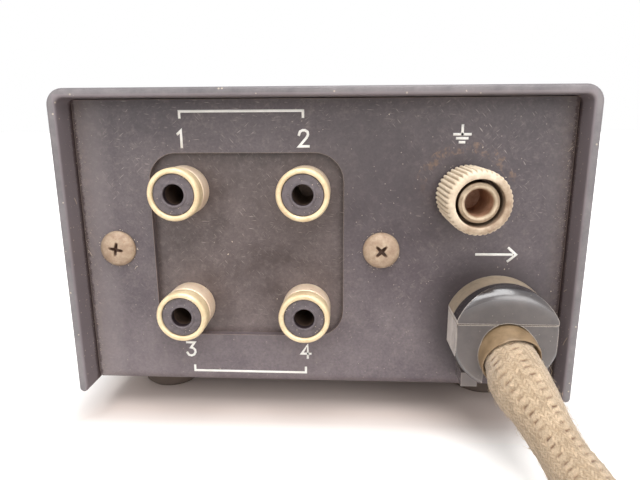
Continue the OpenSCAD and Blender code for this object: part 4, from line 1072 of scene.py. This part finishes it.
def seen(tree):
    """1 for rays that show a surface to the camera: straight, in a mirror or through glass."""
    rays = add(tree, "LightPath")
    return rays["Is Camera Ray"].most(rays["Is Glossy Ray"]).most(rays["Is Transmission Ray"])


world = bpy.data.worlds.new("world")
bpy.context.scene.world = world
world.use_nodes = True
background = world.node_tree.nodes["Background"].inputs
background["Color"].default_value = (1, 1, 1, 1)
put(world.node_tree, seen(world.node_tree).to(0, 1, world_light, 1.0), background["Strength"])

half_table = 3
corners = [(half_table * x, half_table * y, 0) for x, y in ((-1, -1), (1, -1), (1, 1), (-1, 1))]
floor_mesh = bpy.data.meshes.new("floor")
floor_mesh.from_pydata(corners, [], [(0, 1, 2, 3)])
floor = bpy.data.objects.new("floor", floor_mesh)
bpy.context.scene.collection.objects.link(floor)
floor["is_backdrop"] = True
case_half_x, case_half_y, case_mid_y = 40, 62, 3.5
f = Finish("white_table", (244, 242, 240), 0.8, Emission_Color=(1, 1, 1, 1))
away = (abs(f.x) - case_half_x).most(abs(f.y - case_mid_y) - case_half_y)
glow = away.to(1, 17, 0.0, 0.6) + away.to(100, 500, 0.0, 0.4)
f.set("Emission Strength", seen(f.tree) * glow)
# painted shade: the table is darker and browner under the case and close to it
f.paint(away.to(8, -2), (214, 200, 193))
f.wear(floor)
print("table", 2 * half_table, "m wide, world light", world_light)

# %% [markdown]
# ## Lamps
# The photograph has soft light from above and weak shadows. One wide soft box hangs overhead, a little
# towards the camera, and two weaker ones fill in from the left and the right.


# %% Lamps
def soft_box(name, at, target, size, power):
    """A square area lamp at a place, aimed at a target."""
    data = bpy.data.lights.new(name, "AREA")
    data.shape = "SQUARE"
    data.size = size
    data.energy = power
    lamp = bpy.data.objects.new(name, data)
    lamp.location = at
    lamp.rotation_euler = (Vector(target) - Vector(at)).to_track_quat("-Z", "Y").to_euler()
    bpy.context.scene.collection.objects.link(lamp)


soft_box("overhead", (-0.03, 0.24, 0.55), (0, 0.05, 0.03), 0.42, 3.5)
soft_box("right_fill", (-0.28, 0.56, 0.32), (0, 0.06, 0.03), 0.35, 1.6)
soft_box("left_fill", (0.32, 0.5, 0.3), (0, 0.06, 0.03), 0.4, 1.1)

# %% [markdown]
# ## Cotton braid
# Undyed cotton, grey-beige with age. The thread's own tint and height come from the mesh: low places are
# darker with painted shade, and the gaps between stitches are brown with painted shade. A little sheen stands
# for the finest fibres.

# %% Cotton braid finish
f = Finish("cotton_braid", (205, 180, 150), 0.95, Sheen_Weight=0.25)
thread = add(f.tree, "SeparateColor", {0: attribute(f, "thread", "Color")})
tint, height, brown = thread[0], thread[1], thread[2]
# painted shade: low places between the threads are darker
f.colour = f.mix(height.to(0.1, 0.75), (156, 132, 104), (199, 176, 148))
# brown gaps between stitches, darkened as painted shade
f.paint(brown, (104, 66, 42))
f.paint(f.noise(4).to(0.4, 0.75, 0.0, 0.4), (158, 134, 106))
f.shade(tint * f.noise(0.2, rough=0.75).to(0.32, 0.68, 0.74, 1.2))
f.bump(0.2, 0.16, 1.0, 4, 0.75)
f.wear(lead, *single_leads.values())
Finish("loose_cotton", (206, 186, 160), 0.95).wear(fuzz)
print("cotton on", 1 + len(single_leads), "leads")

# %% [markdown]
# ## Age and painted table light
# Panel and plate share their wear: a fine grain, grey scuffs and short scratches. Scratches are noise that is
# stretched along one direction after the place is turned, in three directions. They are strongest high up.
# The lower part is paler, a painted light from the table.


# %% Age and painted table light
def age_and_painted_light(f):
    """Grain, scuffs, scratches and a painted light that is paler low down, over the colour so far, for flat
    faces along X and Z.
    """
    # painted light from the table: brightness grows from 0.8 high up to 1.3 low down
    f.shade(f.noise(0.45, 5, 0.75).to(0.3, 0.7, 0.8, 1.2) * f.z.to(50, 8, 0.8, 1.3))
    f.paint(f.noise(1.2, 5, 0.7).to(0.52, 0.8, 0.0, 0.45), (132, 120, 118))
    high_up = f.z.to(15, 45, 0.35, 1.0)
    for turn in (0.7, 1.5, 2.3):
        stretched = {"Vector": f.place, "Rotation": (0, turn, 0), "Scale": (1, 1, 8)}
        along = add(f.tree, "Mapping", stretched, vector_type="TEXTURE")[0]
        scratch = f.noise(0.2, 1, 0.5, along).to(0.66, 0.78, 0.0, 0.9)
        group = f.noise(5, 2, 0.5, along).to(0.42, 0.6)
        f.paint(scratch * high_up * group, (158, 147, 142))


def ragged(f):
    """A wandering distance, for the ragged edges of the painted corner shade."""
    return f.noise(0.8, rough=0.7).to(0.3, 0.7, -0.25, 0.25)


print("age ready")

# %% [markdown]
# ## Panel paint
# The chassis has satin grey paint that has gone dull, with a film of dust along the cover's side walls.
# Painted light, with some dust, makes it paler along those walls, most on the left, and a painted shade runs
# as a dark seam in the corner itself. Painted shade surrounds the strain relief and the post and darkens the
# upper middle, and there is a trace of rust above the post.

# %% Panel paint
f = Finish("panel_paint", (100, 93, 95), 0.5)
smudge = f.two_tone((77, 68, 72), (104, 95, 97), 14, high=0.7, detail=6)
age_and_painted_light(f)
film = abs(f.x).to(inner_x - 2.5, inner_x) * f.noise(1.0, 5, 0.75).to(0.45, 0.7)
f.paint(film * 0.4, (160, 140, 120))
# painted light, with some dust: paler along the side walls, most on the left
left_light_and_dust = f.x.to(inner_x - 6, inner_x - 0.6, 0.0, 0.36)
right_light_and_dust = f.x.to(4 - inner_x, 0.6 - inner_x, 0.0, 0.18)
f.paint(left_light_and_dust + right_light_and_dust, (176, 165, 164))
# painted shade: a dark seam in the corner along the side walls
corner_shade = (abs(f.x) + ragged(f)).to(inner_x - 0.6, inner_x - 0.3, 0.0, 0.75)
f.paint(corner_shade, (62, 46, 46))
rust = distance(f, post).math("COMPARE", 7.4, 0.9) * f.noise(1.6, rough=0.7).to(0.5, 0.68)
f.paint(rust * f.z.to(post[2], post[2] + 4, 0.0, 0.7), (150, 118, 92))
# painted shade around the strain relief and the post, and in the upper middle
shade_at_relief = distance(f, (-28, rear, 19)).to(8, 12.5, 0.8, 0.0)
shade_at_post = distance(f, post).to(4.5, 8, 0.5, 0.0)
shade_at_middle = distance(f, (-9, rear, 42)).to(5, 16, 0.45, 0.0)
f.paint(shade_at_relief.most(shade_at_post).most(shade_at_middle), (48, 40, 43))
f.paint(flecks(f, 0.3, 0.015), (146, 134, 126))
# rubbed paint along sharp edges, with a painted highlight
f.paint(sharp_edges(f, 0.2) * 0.45, (168, 148, 130))
f.set("Roughness", smudge.to(0, 1, 0.42, 0.6))
f.bump(0.35, 0.02, 0.35)
f.wear(nodes["chassis"])
print("panel painted, its side at x =", round(inner_x, 1), "mm")

# %% [markdown]
# ## Cover paint
# The cover has the same paint, rubbed pale along its rims. Its inner sides are dusty, with a painted shade as
# a dark seam where they meet the panel.

# %% Cover paint
f = Finish("cover_paint", (96, 92, 95), 0.45)
f.two_tone((88, 84, 87), (106, 101, 104), 20, high=0.7, detail=6)
f.paint(attribute(f, "edge") * f.noise(3, 5, 0.7).to(0.3, 0.7, 0.2, 1.0) * 0.36, (166, 158, 157))
under_top = f.z.math("LESS_THAN", cover_high[2] - 0.9)
inside = abs(f.x).to(inner_x + 0.5, inner_x + 0.4) * under_top
f.paint(inside * 0.5, (132, 120, 124))
# painted shade: a dark seam where the inner sides meet the panel
corner_shade = (abs(f.y - rear) + ragged(f)).to(0.9, 0.4, 0.0, 0.8)
f.paint(corner_shade * inside, (62, 46, 46))
f.paint(flecks(f, 0.5, 0.03), (180, 168, 152))
f.bump(0.35, 0.02, 0.35)
f.wear(cover)
print("cover painted up to z =", round(cover_high[2], 1), "mm")

# %% [markdown]
# ## Plate, insulators and screws
# The plate is brown laminate, aged like the panel and painted paler low down in the same way. The insulators
# are grey-black plastic with painted shade deep in their holes. The screws' plating has gone dull, with rust
# in patches and dirt in the cross recess. From here on the finishes are kept by material slot.

# %% Plate, insulators and screws
finishes = {}
f = finishes["phenolic"] = Finish("brown_laminate", (90, 80, 79), 0.46)
smudge = f.two_tone((74, 64, 63), (98, 87, 86), 6)
age_and_painted_light(f)
f.set("Roughness", smudge.to(0, 1, 0.4, 0.55))
f.bump(0.4, 0.03, 0.4, 3)

f = finishes["insulator"] = Finish("socket_insulator", (95, 88, 90), 0.6)
f.two_tone((80, 72, 75), (108, 99, 102), 1.0, rough=0.7)
# painted shade deep in the holes
f.paint(depth(f, 4.75, 4.6), (40, 28, 33))
f.bump(0.15)

f = finishes["old_screw"] = Finish("old_screw", (180, 155, 132), 0.55, 0.15)
f.two_tone((152, 127, 106), (184, 163, 140), 1.1, rough=0.7)
f.paint(f.noise(0.6, rough=0.7).to(0.6, 0.72, 0.0, 0.6), (150, 104, 72))
f.paint(attribute(f, "hollow").to(0.05, 0.4), (72, 48, 34))
f.bump(0.22, 0.04, 0.6, 3)
print("finishes for", list(finishes))

# %% [markdown]
# ## Cap
# The cap is cream plastic with dirt in its mouth and in patches on its front. Its flute valleys carry a
# painted shade, and painted shade also grows towards its lower right front. The angle around the post's axis
# gives the same wave as the flutes in the mesh, so the painted shade follows them.

# %% Cap finish
f = finishes["cap_plastic"] = Finish("cream_plastic", (226, 206, 178), 0.5)
f.two_tone((222, 203, 177), (242, 226, 201), 3)
from_post = f.vector("SUBTRACT", f.place, post)
below = f.vector("DOT_PRODUCT", from_post, (-0.8, 0, -0.6))
# dirt in patches, plus a painted shade that grows towards the lower right front
smear_and_shade = f.noise(1.6).to(0.35, 0.65, 0.1, 0.5) + below.to(-2, 3, 0.0, 0.5)
f.paint(depth(f, 8.9, 9.5) * smear_and_shade, (146, 120, 97))
sideways, _, upwards = f.split(from_post)
# painted shade in the flute valleys
valley = (upwards.math("ARCTAN2", sideways) * flutes).math("COSINE").to(0.1, 1.0, 0.0, 0.55)
radius = off_axis(f, post)
f.paint(valley * radius.to(4.3, 4.5), (142, 116, 90))
f.paint(radius.to(3.52, 3.44) * depth(f, 9.56, 9.35), (124, 98, 79))
f.bump(0.2)
print("cap with", flutes, "dark valleys")

# %% [markdown]
# ## Stud and socket shells
# Both are plated brass that has gone dull, so they are only a little metallic. The stud is brown inside its
# hole, and its side down in the cap's mouth is darker, a painted shade. The shells' front collars are
# yellower than their rear parts, which are paler and pinker, partly a tint of their own and partly painted
# light; both have stains. The stud has a finish of its own.

# %% Plated finishes
f = finishes["stud_metal"] = Finish("dull_stud", (166, 148, 125), 0.42, 0.2)
patches = f.two_tone((170, 150, 126), (204, 185, 159), 1.2)
radius = off_axis(f, post)
f.paint(radius.to(2.1, 2.0) * depth(f, 9.0, 8.4), f.mix(patches, (160, 118, 92), (200, 162, 134)))
# painted shade on the stud's side down in the cap's mouth
f.paint(radius.to(2.85, 2.93) * depth(f, 8.75, 8.5), (92, 70, 54))
f.bump(0.15)

f = finishes["socket_metal"] = Finish("dull_plating", (228, 206, 170), 0.38, 0.15)
# rear part paler and pinker: partly its own tint, partly painted light
patches = f.two_tone((232, 205, 178), (248, 228, 203), 2.5)
f.paint(depth(f, 2.5, 2.75), f.mix(patches, (216, 190, 150), (242, 223, 184)))
f.paint(f.noise(0.5, rough=0.7).to(0.58, 0.72, 0.0, 0.45), (176, 142, 104))
f.bump(0.2)
print("finishes for", list(finishes)[-2:])

# %% [markdown]
# ## Strain relief
# The strain relief is black moulding, glossy on its rounded shoulder and dull on its front. Dust has settled
# on the upper wall close to the panel. The flat sides are pale with scuffs and painted light, the sharp edges
# are rubbed and carry a painted highlight, and the front is paler low down, a painted light. The face's own
# direction tells wall, flat and front apart.

# %% Strain relief finish
f = finishes["relief_rubber"] = Finish("black_relief", (80, 75, 76), 0.3, Specular_IOR_Level=1.0)
patches = f.two_tone((62, 55, 54), (80, 72, 70), 3)
to_x, to_y, to_z = f.split(add(f.tree, "TexCoord")["Normal"])
front = to_y.to(0.6, 1.0)
f.colour = f.mix(front, (50, 46, 48), f.colour)
above_tab = f.z.to(11, 12.5)
settled = depth(f, 4.3, 3.7) * above_tab * to_z.to(-0.1, 0.4, 0.2, 0.95)
settled = settled * f.noise(0.7, 5, 0.7).to(0.25, 0.55, 0.6, 1.0)
f.paint(settled, (168, 151, 130))
# the flat sides: scuffs and painted light
flat_side = abs(to_x).to(0.97, 1.0) * above_tab
f.paint(flat_side * patches.to(0, 1, 0.8, 1.0), (230, 221, 214))
# rubbed edges, with a painted highlight along them
f.paint(sharp_edges(f, 0.3) * 0.75, (200, 187, 175))
# painted light: the front is paler low down
f.paint(front * f.z.to(20, 12, 0.0, 0.3), (132, 123, 119))
f.paint(above_tab.to(0, 1, 0.5, 0.0), (128, 118, 116))
f.paint(flecks(f, 0.25, 0.012, 1300), (140, 130, 121))
f.set("Roughness", settled.most(to_y.to(0.9, 1.0)).to(0, 1, 0.2, 0.55))
f.bump(0.3, 0.02, 0.3)
print("finish for", list(finishes)[-1])

# %% [markdown]
# ## Plain finishes
# Everything else is a plain material of its kind: plated steel, rubber, dark anodised metal, copper and so
# on. Each wanders between two colours in patches, with some change in roughness and a fine grain, so one
# table and one loop make them all.

# %% Plain finishes
plain = {  # slot: material, dark, light, patch, roughness, metallic, grain
    "dust": ("dust", (168, 152, 136), (206, 192, 176), 5, 0.95, 0.0, 0),
    "steel": ("plated_steel", (150, 150, 148), (190, 189, 185), 2, 0.32, 1.0, 0.2),
    "contact_metal": ("spring_metal", (96, 78, 68), (128, 106, 92), 1, 0.4, 0.5, 0),
    "sleeve": ("tan_sleeve", (120, 99, 73), (146, 122, 93), 2, 0.5, 0.0, 0.3),
    "moulded_black": ("black_moulding", (30, 29, 30), (44, 42, 43), 5, 0.45, 0.0, 0.3),
    "foot_rubber": ("foot_rubber", (88, 77, 70), (108, 95, 86), 3, 0.8, 0.0, 0.3),
    "fascia": ("dark_plate", (38, 38, 41), (50, 50, 53), 8, 0.35, 0.6, 0.15),
    "knob_metal": ("dark_anodised", (72, 72, 75), (92, 92, 95), 6, 0.32, 0.9, 0.2),
    "white_inlay": ("white_paint", (226, 224, 218), (242, 240, 235), 2, 0.6, 0.0, 0),
    "shield": ("grey_can", (120, 122, 126), (150, 152, 156), 6, 0.4, 0.8, 0.3),
    "core_iron": ("laminations", (80, 84, 90), (110, 113, 118), 3, 0.5, 0.8, 0.2),
    "copper": ("enamelled_copper", (150, 78, 44), (186, 104, 62), 2, 0.35, 0.8, 0.2),
    "wire_cover": ("wire_cover", (130, 36, 34), (160, 52, 46), 5, 0.4, 0.0, 0)}
for slot, (name, dark, light, patch, roughness, metallic, grain) in plain.items():
    f = finishes[slot] = Finish(name, dark, roughness, metallic)
    patches = f.two_tone(dark, light, patch)
    f.set("Roughness", patches.to(0, 1, roughness * 0.85, roughness * 1.15))
    if grain:
        f.bump(grain)
print(len(plain), "plain finishes")

# %% [markdown]
# ## Dress the pieces
# The record says which material slot each CAD node has, so the nodes are dressed by slot. Chassis, cover and
# leads have their finishes already. The new pieces are listed one by one.

# %% Dress the pieces
slot_of = {s["node"]: s["material_slot"] for s in frame["record"]["subparts"]}
for name, obj in nodes.items():
    if slot_of[name] in finishes:
        finishes[slot_of[name]].wear(obj)
handles, rings, _ = zip(*plugs.values())
new_pieces = {
    "moulded_black": [splitter, *handles], "steel": rings, "socket_metal": shells, "insulator": insulators,
    "old_screw": [screws], "cap_plastic": [cap], "stud_metal": [stud], "sleeve": [sleeve],
    "white_inlay": [rear_marks, front_marks], "dust": [dust]}
for slot, objects in new_pieces.items():
    finishes[slot].wear(*objects)
print(len(finishes), "finishes on", len(nodes), "nodes and", sum(map(len, new_pieces.values())), "new pieces")

# %% [markdown]
# ## Size of the result
# The boxes of the CAD model and of the dressed object are printed. The dressed object has to stay about as
# large as its CAD model.

# %% Size of the result
size = {"cad": cad_box, "visual": [list(corner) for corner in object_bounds()]}
print(size)
